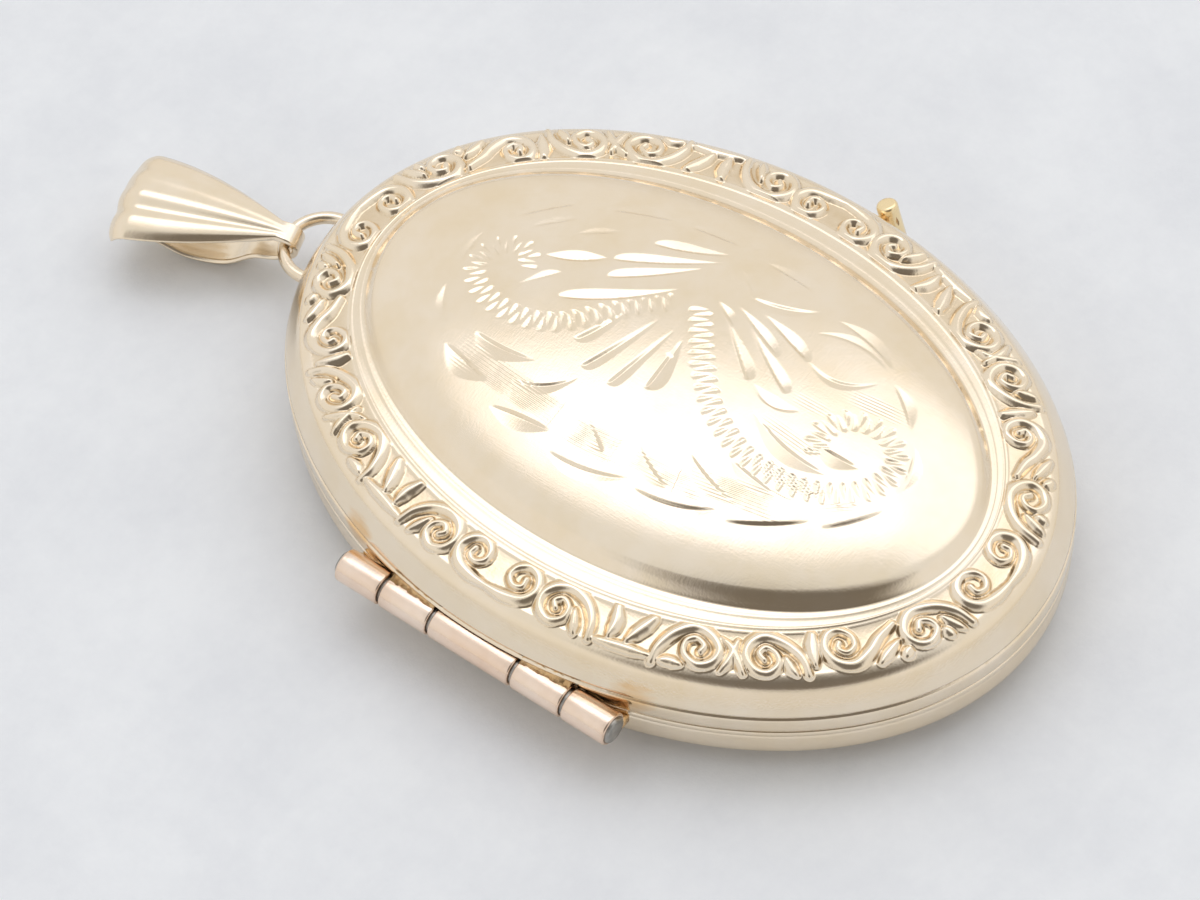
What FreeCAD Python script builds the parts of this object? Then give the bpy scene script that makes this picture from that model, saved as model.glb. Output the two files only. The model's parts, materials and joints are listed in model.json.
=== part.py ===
"""Oval two-cover locket with a five-knuckle hinge, a case bow and a swinging bail.

The locket lies on its back.  The origin is the middle of the flat back panel,
+Z points out of the decorated front, +Y points to the bail, the hinge is on
the -X side and the thumb pin on the +X side.  Lengths are millimetres.
"""
import FreeCAD, Part
import math
import os
import Sketcher

Vector = FreeCAD.Vector

# Driving dimensions: alias, value, what it is.
SIZES = [
    ("half_length", 19.0, "half the case length, along Y"),
    ("half_width", 14.18, "half the case width, along X"),
    ("sheet", 0.4, "thickness of the stamped cover sheet"),
    ("seam_level", 3.0, "parting plane of the two covers"),
    ("seam_gap", 0.02, "hairline gap left between the closed covers"),
    ("shoulder_level", 5.25, "crease where the front border starts"),
    ("shoulder_round", 0.92, "rounded front edge of the case"),
    ("dome_half_length", 15.4, "half length of the raised dome at its foot"),
    ("dome_half_width", 9.8, "half width of the raised dome at its foot"),
    ("dome_foot_level", 6.2, "level where the dome rises from the border"),
    ("step_level", 7.0, "top of the steep step round the dome"),
    ("step_lean", 0.35, "how far the step leans inwards over its height"),
    ("step_sheet", 0.36, "thickness of the sheet at the top of the step, stretched by the die"),
    ("crown_centre_level", 5.5, "centre of the ellipsoid that crowns the dome"),
    ("crown_rise", 2.7, "ellipsoid height above its centre"),
    ("root_inset", 0.18, "a border starts this far outside its crease, in the wall"),
    ("root_drop", 0.07, "and this far below the crease"),
    ("back_edge_level", 0.9, "lowest level of the back cover's side wall"),
    ("back_round", 0.8, "rounded back edge of the case"),
    ("panel_foot_level", 0.5, "level where the back panel meets the border"),
    ("panel_round", 0.4, "rounded edge of the flat back panel"),
    ("inner_round", 0.45, "inside corner of the stamped wall"),
    ("rim_outer", 0.4, "inset of the rims where they touch the wall"),
    ("rim_relief", 0.95, "inset of the rims beside the inside corner"),
    ("rim_inner", 1.6, "inset of the rims' inner face"),
    ("ledge_inner", 2.4, "inset of the ledge that carries the photo card"),
    ("ledge_depth", 0.2, "thickness of that ledge"),
    ("back_ledge_level", 1.8, "underside of the back ledge"),
    ("back_band_level", 2.3, "level where the back rim meets the wall"),
    ("front_band_low", 3.8, "lower face of the front rim"),
    ("front_band_level", 4.25, "level where the front rim leaves the wall"),
    ("front_ledge_level", 4.8, "upper face of the front ledge"),
    ("lip_outer", 0.5, "inset of the snap lip's outer face"),
    ("lip_inner", 0.9, "inset of the snap lip's inner face"),
    ("lip_top", 3.7, "top of the snap lip"),
    ("lip_break", 8.0, "half length of the break in the lip at the hinge"),
    ("lip_break_far", 15.0, "the break reaches out to here, towards the hinge"),
    ("lip_break_near", 8.0, "and in to here"),
    ("frame_outer", 1.65, "inset of the photo frame's wall, outside"),
    ("frame_inner", 1.95, "inset of the photo frame's wall, inside"),
    ("flange_inner", 3.2, "inset of the photo frame's flange, inside"),
    ("flange_depth", 0.3, "thickness of the flange"),
    ("card_inset", 2.0, "inset of the photo cards and windows"),
    ("card_depth", 0.2, "thickness of a photo card"),
    ("window_depth", 0.25, "thickness of a clear window"),
    ("hinge_x", -14.2, "hinge axis, beside the wall on the seam plane"),
    ("knuckle_radius", 0.78, "outside radius of the hinge tube"),
    ("running_bore", 0.64, "bore radius of the front knuckles"),
    ("pin_radius", 0.62, "radius of the hinge pin, tight in the back knuckles"),
    ("notch_radius", 0.84, "clearance cut round the hinge tube"),
    ("middle_half", 2.19, "half length of the middle knuckle"),
    ("front_near", 2.27, "front knuckles start here"),
    ("front_far", 4.90, "front knuckles end here"),
    ("back_near", 4.98, "outer back knuckles start here"),
    ("back_far", 7.31, "outer back knuckles end here"),
    ("notch_half", 7.39, "half length of the clearance cut"),
    ("pin_end", 0.1, "how far the pin stands out of the tube at each end"),
    ("web_from", 4.0, "solder web starts this many degrees off the seam"),
    ("web_to", 86.0, "solder web ends this many degrees off the seam"),
    ("thumb_radius", 0.5, "radius of the thumb pin"),
    ("thumb_lean", 16.0, "lean of the thumb pin towards +Y, in degrees"),
    ("thumb_rod", 2.3, "length of the thumb pin"),
    ("thumb_x", 14.74, "foot of the thumb pin"),
    ("thumb_y", -1.85, "foot of the thumb pin"),
    ("thumb_level", 2.25, "foot of the thumb pin"),
    ("thumb_web_low", 3.2, "solder foot of the thumb pin, lower face"),
    ("thumb_web_high", 4.2, "solder foot of the thumb pin, upper face"),
    ("thumb_web_half", 0.45, "half width of that solder foot"),
    ("thumb_web_root", 1.0, "how far that foot starts inside the wall, before it is trimmed"),
    ("bow_x", -0.7, "centre of the bow loop"),
    ("bow_y", 19.65, "centre of the bow loop"),
    ("bow_level", 2.1, "level of the bow loop"),
    ("bow_radius", 1.85, "centre-line radius of the bow loop"),
    ("bow_wire", 0.28, "wire radius of the bow"),
    ("bail_yaw", 19.0, "the bail hangs this far off the long axis, in degrees"),
    ("bail_sheet", 0.3, "thickness of the bail strip"),
    ("eye_round", 0.75, "outside radius of the bail's eye"),
    ("fold_round", 1.2, "outside radius of the bail's wide fold"),
    ("fold_reach", 6.9, "eye centre to fold centre, along the bail"),
    ("fold_drop", 0.1, "fold centre below the eye centre"),
    ("leaf_arch", 40.0, "outside radius of the front leaf"),
    ("belly_arch", 7.4, "outside radius of the back leaf"),
    ("neck_half", 0.65, "half width of the strip at the eye"),
    ("neck_run", 0.4, "the strip keeps that width up to here, past the eye centre"),
    ("fan_half", 2.45, "half width of the front leaf at the fold"),
    ("fan_bulge", 2.0, "half width of the front leaf at mid length"),
    ("strap_half", 1.15, "half width of the back leaf"),
    ("strap_level", -0.45, "level below which the strip is the narrow back leaf"),
]

# Prefix of a driving dimension in an expression.
BOOK = "Sizes."
# A trimming outline reaches this far past the part that it trims.
PAST = 2.0


def fill_sheet(doc):
    """Write the driving dimensions into the document's spreadsheet."""
    sheet = doc.addObject("Spreadsheet::Sheet", "Sizes")
    for row, (alias, value, note) in enumerate(SIZES, 1):
        sheet.set(f"A{row}", note)
        sheet.set(f"B{row}", str(value))
        sheet.setAlias(f"B{row}", alias)
    doc.recompute()
    return sheet


class Workshop:
    """The document, its sheet and the features that the sub-parts share."""

    def __init__(self):
        self.doc = FreeCAD.newDocument("Locket")
        self.sheet = fill_sheet(self.doc)
        self.subparts = []

    def size(self, alias):
        return float(self.sheet.get(alias))

    def done(self, item, label):
        """Recompute a finished sub-part and give it the label of its node."""
        item.Label = label
        self.subparts.append(item)
        self.doc.recompute()
        return item

    # --- sketches -----------------------------------------------------------
    def sketch(self, body, name, role="XY_Plane", level=None):
        item = body.newObject("Sketcher::SketchObject", name)
        plane = next(f for f in body.Origin.OriginFeatures if f.Role == role)
        item.AttachmentSupport = [(plane, "")]
        item.MapMode = "FlatFace"
        if level is not None:
            item.setExpression(".AttachmentOffset.Base.z", level)
        return item

    def add_oval(self, item, half_long, half_wide):
        """Add an ellipse about the origin; both halves are expressions.

        It is drawn near its final size and the two distances then set it.
        """
        first = item.GeometryCount
        item.addGeometry(Part.Ellipse(Vector(0, 19, 0), Vector(14, 0, 0), Vector(0, 0, 0)), False)
        item.exposeInternalGeometry(first)
        item.addConstraint(Sketcher.Constraint("Coincident", first, 3, -1, 1))
        item.addConstraint(Sketcher.Constraint("Vertical", first + 1))
        for line, start, half in ((first + 1, 38.0, half_long), (first + 2, 28.0, half_wide)):
            number = item.addConstraint(Sketcher.Constraint("Distance", line, start))
            item.setExpression(f"Constraints[{number}]", f"2 * ({half})")

    def case_oval(self, body, name, level, *insets):
        """A sketch of one or two ovals inset from the case outline."""
        item = self.sketch(body, name, level=level)
        for inset in insets:
            self.add_oval(item, f"{BOOK}half_length - ({inset})", f"{BOOK}half_width - ({inset})")
        return item

    def dome_oval(self, body, name, level, inset="0"):
        """A sketch of the dome's foot outline, inset."""
        item = self.sketch(body, name, level=level)
        self.add_oval(item, f"{BOOK}dome_half_length - ({inset})",
                      f"{BOOK}dome_half_width - ({inset})")
        return item

    # --- features -----------------------------------------------------------
    def pad(self, body, name, profile, length, down=False, middle=False):
        item = body.newObject("PartDesign::Pad", name)
        item.Profile = profile
        item.setExpression("Length", length)
        item.Reversed = down
        item.Midplane = middle
        self.doc.recompute()
        return item

    def pocket(self, body, name, profile, length, up=False, middle=False):
        """Cut a profile, and stop if the cut takes nothing away.

        A cut between curved faces can come back empty on its first pass, so
        the feature is recomputed a few times before that counts as failure.
        """
        before = body.Shape.Volume
        item = body.newObject("PartDesign::Pocket", name)
        item.Profile = profile
        item.setExpression("Length", length)
        item.Reversed = up
        item.Midplane = middle
        for _ in range(4):
            item.touch()
            self.doc.recompute()
            if item.Shape.Volume < before - 1e-6:
                return item
        raise RuntimeError(f"{body.Name}: {name} cuts nothing")

    def loft(self, body, name, first, last, cut=False):
        kind = "PartDesign::SubtractiveLoft" if cut else "PartDesign::AdditiveLoft"
        item = body.newObject(kind, name)
        item.Profile = first
        item.Sections = [last]
        item.Ruled = True
        self.doc.recompute()
        return item

    def crown(self, body, name, rise, inset, cut=False):
        """The part of an ellipsoid above the dome's step."""
        kind = "PartDesign::SubtractiveEllipsoid" if cut else "PartDesign::AdditiveEllipsoid"
        item = body.newObject(kind, name)
        plane = next(f for f in body.Origin.OriginFeatures if f.Role == "XY_Plane")
        item.AttachmentSupport = [(plane, "")]
        item.MapMode = "FlatFace"
        item.setExpression(".AttachmentOffset.Base.z", f"{BOOK}crown_centre_level")
        base = f"{BOOK}step_level - {BOOK}crown_centre_level - ({inset[0]})"
        latitude = f"asin(({base}) / ({rise}))"
        item.setExpression("Radius1", rise)
        for name_, half in (("Radius2", "dome_half_width"), ("Radius3", "dome_half_length")):
            item.setExpression(name_, f"({BOOK}{half} - {BOOK}step_lean - ({inset[1]}))"
                                      f" / cos({latitude})")
        item.setExpression("Angle1", latitude)
        self.doc.recompute()
        return item

    def round_edges(self, body, name, radius, chosen):
        """Fillet the edges of the body's last feature that a test picks."""
        base = body.Tip
        edges = [f"Edge{n}" for n, edge in enumerate(base.Shape.Edges, 1) if chosen(edge)]
        if not edges:
            raise RuntimeError(f"{body.Name}: no edge for {name}")
        item = body.newObject("PartDesign::Fillet", name)
        item.Base = (base, edges)
        item.setExpression("Radius", radius)
        self.doc.recompute()
        return item

    def hinge_cut(self, body):
        """Clear the hinge tube out of a body, over the hinge's length."""
        item = self.sketch(body, "HingeClearance", "XZ_Plane")
        axis = Vector(self.size("hinge_x"), self.size("seam_level"), 0)
        radius = self.size("notch_radius")
        item.addGeometry(Part.Circle(axis, Vector(0, 0, 1), radius), False)
        place_point(item, 0, 3, f"{BOOK}hinge_x", f"{BOOK}seam_level")
        bind(item, Sketcher.Constraint("Radius", 0, radius), f"{BOOK}notch_radius")
        self.pocket(body, "HingeNotch", item, f"2 * {BOOK}notch_half", middle=True)


def bind(item, constraint, expression):
    """Add a constraint to a sketch and bind its value to an expression."""
    number = item.addConstraint(constraint)
    item.setExpression(f"Constraints[{number}]", expression)


def place_point(item, geometry, point, across, along):
    """Fix a sketch point at signed distances from the sketch origin."""
    where = item.getPoint(geometry, point)
    for kind, value, expression in (("DistanceX", where.x, across), ("DistanceY", where.y, along)):
        bind(item, Sketcher.Constraint(kind, -1, 1, geometry, point, value), expression)


def add_box(item, left, low, right, high):
    """Add a closed rectangle of four lines to a sketch, square to its axes."""
    corners = [Vector(left, low, 0), Vector(right, low, 0), Vector(right, high, 0), Vector(left, high, 0)]
    first = item.GeometryCount
    for number in range(4):
        item.addGeometry(Part.LineSegment(corners[number], corners[(number + 1) % 4]), False)
    for number in range(4):
        item.addConstraint(Sketcher.Constraint("Coincident", first + number, 2,
                                               first + (number + 1) % 4, 1))
        item.addConstraint(Sketcher.Constraint("Vertical" if number % 2 else "Horizontal",
                                               first + number))


def at_level(level, tolerance=0.02):
    """A test for edges that lie wholly in one horizontal plane."""
    def chosen(edge):
        heights = [edge.valueAt(edge.FirstParameter + step * (edge.LastParameter - edge.FirstParameter)).z
                   for step in (0.0, 0.25, 0.5, 0.75)]
        return all(abs(height - level) < tolerance for height in heights)
    return chosen


def longest_at(shape, level):
    """A test for the longest edge that lies in one horizontal plane."""
    flat = [edge for edge in shape.Edges if at_level(level)(edge)]
    longest = max(edge.Length for edge in flat)
    return lambda edge: at_level(level)(edge) and abs(edge.Length - longest) < 1e-6


# --- covers ------------------------------------------------------------------
def front_cover(shop):
    """Stamped front: rounded wall, sloping border, stepped and crowned dome."""
    body = shop.doc.addObject("PartDesign::Body", "FrontCover")
    low = f"{BOOK}seam_level + {BOOK}seam_gap"
    outline = shop.case_oval(body, "Outline", low, "0")
    shop.pad(body, "Wall", outline, f"{BOOK}shoulder_level - ({low})")
    shop.round_edges(body, "Shoulder", f"{BOOK}shoulder_round",
                     at_level(shop.size("shoulder_level")))
    ceiling = f"{BOOK}shoulder_level - {BOOK}sheet"
    mouth = shop.case_oval(body, "Mouth", low, f"{BOOK}sheet")
    shop.pocket(body, "Hollow", mouth, f"{ceiling} - ({low})", up=True)
    inner_level = shop.size("shoulder_level") - shop.size("sheet")
    shop.round_edges(body, "InnerCorner", f"{BOOK}inner_round",
                     longest_at(body.Shape, inner_level))

    crease = shop.case_oval(body, "Crease", f"{BOOK}shoulder_level - {BOOK}root_drop",
                            f"{BOOK}shoulder_round - {BOOK}root_inset")
    foot = shop.dome_oval(body, "DomeFoot", f"{BOOK}dome_foot_level")
    shop.loft(body, "Border", crease, foot)
    step = shop.dome_oval(body, "DomeStep", f"{BOOK}step_level", f"{BOOK}step_lean")
    shop.loft(body, "Step", foot, step)
    shop.crown(body, "Crown", f"{BOOK}crown_rise", ("0", "0"))

    corner = f"{BOOK}sheet + {BOOK}inner_round - {BOOK}root_inset"
    inner_crease = shop.case_oval(body, "InnerCrease", f"{ceiling} - {BOOK}root_drop", corner)
    inner_foot = shop.dome_oval(body, "InnerFoot", f"{BOOK}dome_foot_level - {BOOK}sheet",
                                f"{BOOK}sheet")
    shop.loft(body, "BorderHollow", inner_crease, inner_foot, cut=True)
    inner_step = shop.dome_oval(body, "InnerStep", f"{BOOK}step_level - {BOOK}step_sheet",
                                f"{BOOK}step_lean + {BOOK}sheet")
    shop.loft(body, "StepHollow", inner_foot, inner_step, cut=True)
    shop.crown(body, "CrownHollow", f"{BOOK}crown_rise - {BOOK}sheet",
               (f"{BOOK}step_sheet", f"{BOOK}sheet"), cut=True)
    shop.hinge_cut(body)
    return shop.done(body, "front_cover")


def back_cover(shop):
    """Stamped back: rounded wall, shallow border and a flat raised panel."""
    body = shop.doc.addObject("PartDesign::Body", "BackCover")
    outline = shop.case_oval(body, "Outline", f"{BOOK}back_edge_level", "0")
    shop.pad(body, "Wall", outline, f"{BOOK}seam_level - {BOOK}back_edge_level")
    shop.round_edges(body, "Shoulder", f"{BOOK}back_round", at_level(shop.size("back_edge_level")))
    crease = shop.case_oval(body, "Crease", f"{BOOK}back_edge_level + {BOOK}root_drop",
                            f"{BOOK}back_round - {BOOK}root_inset")
    foot = shop.dome_oval(body, "PanelFoot", f"{BOOK}panel_foot_level")
    shop.loft(body, "Border", crease, foot)
    shop.pad(body, "Panel", foot, f"{BOOK}panel_foot_level", down=True)
    shop.round_edges(body, "PanelEdge", f"{BOOK}panel_round", at_level(0.0))

    floor = f"{BOOK}back_edge_level + {BOOK}sheet"
    mouth = shop.case_oval(body, "Mouth", f"{BOOK}seam_level", f"{BOOK}sheet")
    shop.pocket(body, "Hollow", mouth, f"{BOOK}seam_level - ({floor})")
    inner_level = shop.size("back_edge_level") + shop.size("sheet")
    shop.round_edges(body, "InnerCorner", f"{BOOK}inner_round",
                     longest_at(body.Shape, inner_level))
    corner = f"{BOOK}sheet + {BOOK}inner_round - {BOOK}root_inset"
    inner_crease = shop.case_oval(body, "InnerCrease", f"{floor} + {BOOK}root_drop", corner)
    inner_foot = shop.dome_oval(body, "InnerFoot", f"{BOOK}panel_foot_level + {BOOK}sheet",
                                f"{BOOK}sheet")
    shop.loft(body, "BorderHollow", inner_crease, inner_foot, cut=True)
    shop.pocket(body, "PanelHollow", inner_foot, f"{BOOK}panel_foot_level")
    shop.hinge_cut(body)
    return shop.done(body, "back_cover")


# --- rims, frames, cards and windows -------------------------------------------
def ring(shop, body, name, low, high, outer, inner):
    """An oval ring between two levels and two insets."""
    profile = shop.case_oval(body, name + "Outline", low, outer, inner)
    return shop.pad(body, name, profile, f"{high} - ({low})")


def back_rim(shop):
    """Soldered ring in the back cover, with the ledge and the snap lip."""
    body = shop.doc.addObject("PartDesign::Body", "BackRim")
    low = f"{BOOK}back_ledge_level"
    seam = f"{BOOK}seam_level"
    ring(shop, body, "Band", f"{BOOK}back_band_level", seam, f"{BOOK}rim_outer", f"{BOOK}rim_inner")
    ring(shop, body, "Relief", low, f"({BOOK}back_band_level)", f"{BOOK}rim_relief",
         f"{BOOK}rim_inner")
    ring(shop, body, "Ledge", low, f"({low} + {BOOK}ledge_depth)", f"{BOOK}rim_relief",
         f"{BOOK}ledge_inner")
    ring(shop, body, "SnapLip", seam, f"{BOOK}lip_top", f"{BOOK}lip_outer", f"{BOOK}lip_inner")
    gap = shop.sketch(body, "LipBreakOutline", level=seam)
    far, near, half = (shop.size(alias) for alias in ("lip_break_far", "lip_break_near", "lip_break"))
    add_box(gap, -far, -half, -near, half)
    place_point(gap, 0, 1, f"-{BOOK}lip_break_far", f"-{BOOK}lip_break")
    place_point(gap, 2, 1, f"-{BOOK}lip_break_near", f"{BOOK}lip_break")
    shop.pocket(body, "LipBreak", gap, f"{BOOK}lip_top - {seam}", up=True)
    shop.hinge_cut(body)
    return shop.done(body, "back_rim")


def front_rim(shop):
    """Soldered ring in the front cover, with the ledge for its photo."""
    body = shop.doc.addObject("PartDesign::Body", "FrontRim")
    high = f"{BOOK}front_ledge_level"
    ring(shop, body, "Band", f"{BOOK}front_band_low", f"{BOOK}front_band_level",
         f"{BOOK}rim_outer", f"{BOOK}rim_inner")
    ring(shop, body, "Relief", f"{BOOK}front_band_level", high, f"{BOOK}rim_relief",
         f"{BOOK}rim_inner")
    ring(shop, body, "Ledge", f"{high} - {BOOK}ledge_depth", high, f"{BOOK}rim_relief",
         f"{BOOK}ledge_inner")
    return shop.done(body, "front_rim")


def photo_set(shop, side, ledge, sign):
    """Card, window and L-section frame, stacked from the ledge to the seam.

    `ledge` is the face of the rim's ledge and `sign` is +1 where the stack
    rises from it (back) or -1 where it hangs below it (front).
    """
    down = sign < 0
    card_top = f"{ledge} + {sign} * {BOOK}card_depth"
    window_top = f"{card_top} + {sign} * {BOOK}window_depth"

    card = shop.doc.addObject("PartDesign::Body", side.title() + "Card")
    outline = shop.case_oval(card, "Outline", ledge, f"{BOOK}card_inset")
    shop.pad(card, "Sheet", outline, f"{BOOK}card_depth", down=down)
    shop.done(card, side + "_photo_card")

    window = shop.doc.addObject("PartDesign::Body", side.title() + "Window")
    outline = shop.case_oval(window, "Outline", card_top, f"{BOOK}card_inset")
    shop.pad(window, "Pane", outline, f"{BOOK}window_depth", down=down)
    shop.done(window, side + "_window")

    frame = shop.doc.addObject("PartDesign::Body", side.title() + "Frame")
    wall = shop.case_oval(frame, "WallOutline", ledge, f"{BOOK}frame_outer", f"{BOOK}frame_inner")
    wall_rise = f"{BOOK}card_depth + {BOOK}window_depth + {BOOK}flange_depth"
    shop.pad(frame, "Wall", wall, wall_rise, down=down)
    flange = shop.case_oval(frame, "FlangeOutline", window_top, f"{BOOK}frame_outer",
                            f"{BOOK}flange_inner")
    shop.pad(frame, "Flange", flange, f"{BOOK}flange_depth", down=down)
    shop.done(frame, side + "_photo_frame")


# --- hinge -------------------------------------------------------------------
def knuckle(shop, label, start, end, front, bore):
    """A length of hinge tube with the solder web that joins it to its cover."""
    body = shop.doc.addObject("PartDesign::Body", "".join(word.title() for word in label.split("_")))
    centre = (f"{BOOK}hinge_x", f"{BOOK}seam_level")
    axis = Vector(shop.size("hinge_x"), shop.size("seam_level"), 0)
    level = f"-({end})"

    tube = shop.sketch(body, "TubeOutline", "XZ_Plane", level)
    for number, alias in enumerate(("knuckle_radius", bore)):
        tube.addGeometry(Part.Circle(axis, Vector(0, 0, 1), shop.size(alias)), False)
        place_point(tube, number, 3, *centre)
        bind(tube, Sketcher.Constraint("Radius", number, shop.size(alias)), BOOK + alias)
    shop.pad(body, "Tube", tube, f"({end}) - ({start})")

    web = shop.sketch(body, "WebOutline", "XZ_Plane", level)
    low, high = (shop.size("web_from"), shop.size("web_to"))
    if not front:
        low, high = -high, -low
    low, high = math.radians(low), math.radians(high)
    outer, inner = shop.size("notch_radius"), 0.5 * (shop.size("knuckle_radius") + shop.size(bore))
    for radius in (outer, inner):
        circle = Part.Circle(axis, Vector(0, 0, 1), radius)
        web.addGeometry(Part.ArcOfCircle(circle, low, high), False)
    ends = [[axis + Vector(math.cos(angle), math.sin(angle), 0) * radius
             for radius in (outer, inner)] for angle in (low, high)]
    for pair in ends:
        web.addGeometry(Part.LineSegment(*pair), False)
    for line, point in ((2, 1), (3, 2)):
        web.addConstraint(Sketcher.Constraint("Coincident", line, 1, 0, point))
        web.addConstraint(Sketcher.Constraint("Coincident", line, 2, 1, point))
        web.addConstraint(Sketcher.Constraint("PointOnObject", 0, 3, line))
    web.addConstraint(Sketcher.Constraint("Coincident", 1, 3, 0, 3))
    place_point(web, 0, 3, *centre)
    bind(web, Sketcher.Constraint("Radius", 0, outer), f"{BOOK}notch_radius")
    bind(web, Sketcher.Constraint("Radius", 1, inner), f"0.5 * ({BOOK}knuckle_radius + {BOOK}{bore})")
    shop.pad(body, "Web", web, f"({end}) - ({start})")
    return shop.done(body, label)


def hinge(shop):
    """Three back knuckles, two front knuckles and the pin through them."""
    upper_back = (f"{BOOK}back_near", f"{BOOK}back_far")
    upper_front = (f"{BOOK}front_near", f"{BOOK}front_far")
    knuckle(shop, "hinge_knuckle_back_upper", *upper_back, False, "pin_radius")
    knuckle(shop, "hinge_knuckle_front_upper", *upper_front, True, "running_bore")
    knuckle(shop, "hinge_knuckle_back_middle", f"-{BOOK}middle_half", f"{BOOK}middle_half",
            False, "pin_radius")
    knuckle(shop, "hinge_knuckle_front_lower", f"-{upper_front[1]}", f"-{upper_front[0]}",
            True, "running_bore")
    knuckle(shop, "hinge_knuckle_back_lower", f"-{upper_back[1]}", f"-{upper_back[0]}",
            False, "pin_radius")

    pin = shop.doc.addObject("Part::Cylinder", "HingePin")
    pin.setExpression("Radius", f"{BOOK}pin_radius")
    pin.setExpression("Height", f"2 * ({BOOK}back_far + {BOOK}pin_end)")
    pin.Placement.Rotation = FreeCAD.Rotation(Vector(1, 0, 0), 90)
    pin.setExpression(".Placement.Base.x", f"{BOOK}hinge_x")
    pin.setExpression(".Placement.Base.y", f"{BOOK}back_far + {BOOK}pin_end")
    pin.setExpression(".Placement.Base.z", f"{BOOK}seam_level")
    shop.done(pin, "hinge_pin")


# --- thumb pin, bow and bail ---------------------------------------------------
def case_solid(shop, name, low, high):
    """The case outline as a plain prism, for trimming parts to the wall."""
    body = shop.doc.addObject("PartDesign::Body", name)
    profile = shop.case_oval(body, "Outline", low, "0")
    shop.pad(body, "Prism", profile, f"{high} - ({low})")
    return body


def thumb_pin(shop, trim):
    """Leaning rod with the solder foot that joins it to the front wall."""
    rod = shop.doc.addObject("Part::Cylinder", "ThumbRod")
    rod.setExpression("Radius", f"{BOOK}thumb_radius")
    rod.setExpression("Height", f"{BOOK}thumb_rod")
    rod.Placement.Rotation = FreeCAD.Rotation(Vector(-1, 0, 0), shop.size("thumb_lean"))
    rod.setExpression(".Placement.Base.x", f"{BOOK}thumb_x")
    rod.setExpression(".Placement.Base.y", f"{BOOK}thumb_y")
    rod.setExpression(".Placement.Base.z", f"{BOOK}thumb_level")

    web = shop.doc.addObject("Part::Box", "ThumbWeb")
    web.setExpression("Length", f"{BOOK}thumb_x - {BOOK}half_width + {BOOK}thumb_web_root")
    web.setExpression("Width", f"2 * {BOOK}thumb_web_half")
    web.setExpression("Height", f"{BOOK}thumb_web_high - {BOOK}thumb_web_low")
    middle = f"0.5 * ({BOOK}thumb_web_low + {BOOK}thumb_web_high)"
    lean = f"({middle} - {BOOK}thumb_level) * tan({shop.size('thumb_lean')})"
    web.setExpression(".Placement.Base.x", f"{BOOK}half_width - {BOOK}thumb_web_root")
    web.setExpression(".Placement.Base.y", f"{BOOK}thumb_y + {lean} - {BOOK}thumb_web_half")
    web.setExpression(".Placement.Base.z", f"{BOOK}thumb_web_low")

    whole = shop.doc.addObject("Part::Fuse", "ThumbWhole")
    whole.Base, whole.Tool = rod, web
    pin = shop.doc.addObject("Part::Cut", "ThumbPin")
    pin.Base, pin.Tool = whole, trim
    return shop.done(pin, "thumb_pin")


def case_bow(shop, trim):
    """Round-wire loop whose two ends butt against the back cover's wall."""
    loop = shop.doc.addObject("Part::Torus", "BowLoop")
    loop.setExpression("Radius1", f"{BOOK}bow_radius")
    loop.setExpression("Radius2", f"{BOOK}bow_wire")
    loop.setExpression(".Placement.Base.x", f"{BOOK}bow_x")
    loop.setExpression(".Placement.Base.y", f"{BOOK}bow_y")
    loop.setExpression(".Placement.Base.z", f"{BOOK}bow_level")
    bow = shop.doc.addObject("Part::Cut", "CaseBow")
    bow.Base, bow.Tool = loop, trim
    return shop.done(bow, "case_bow")


def tangent_centre(eye, fold, radius, below):
    """Centre of the arc of a radius that wraps both circles of the bail.

    `eye` and `fold` are (y, z, radius).  The centre lies below the line of
    their centres for the front leaf and above it for the back leaf.
    """
    to_eye, to_fold = radius - eye[2], radius - fold[2]
    gap_y, gap_z = fold[0] - eye[0], fold[1] - eye[1]
    gap = math.hypot(gap_y, gap_z)
    along = (to_eye ** 2 - to_fold ** 2 + gap ** 2) / (2 * gap)
    off = math.sqrt(to_eye ** 2 - along ** 2) * (-1 if below else 1)
    return Vector(eye[0] + (along * gap_y - off * gap_z) / gap,
                  eye[1] + (along * gap_z + off * gap_y) / gap, 0)


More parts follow.
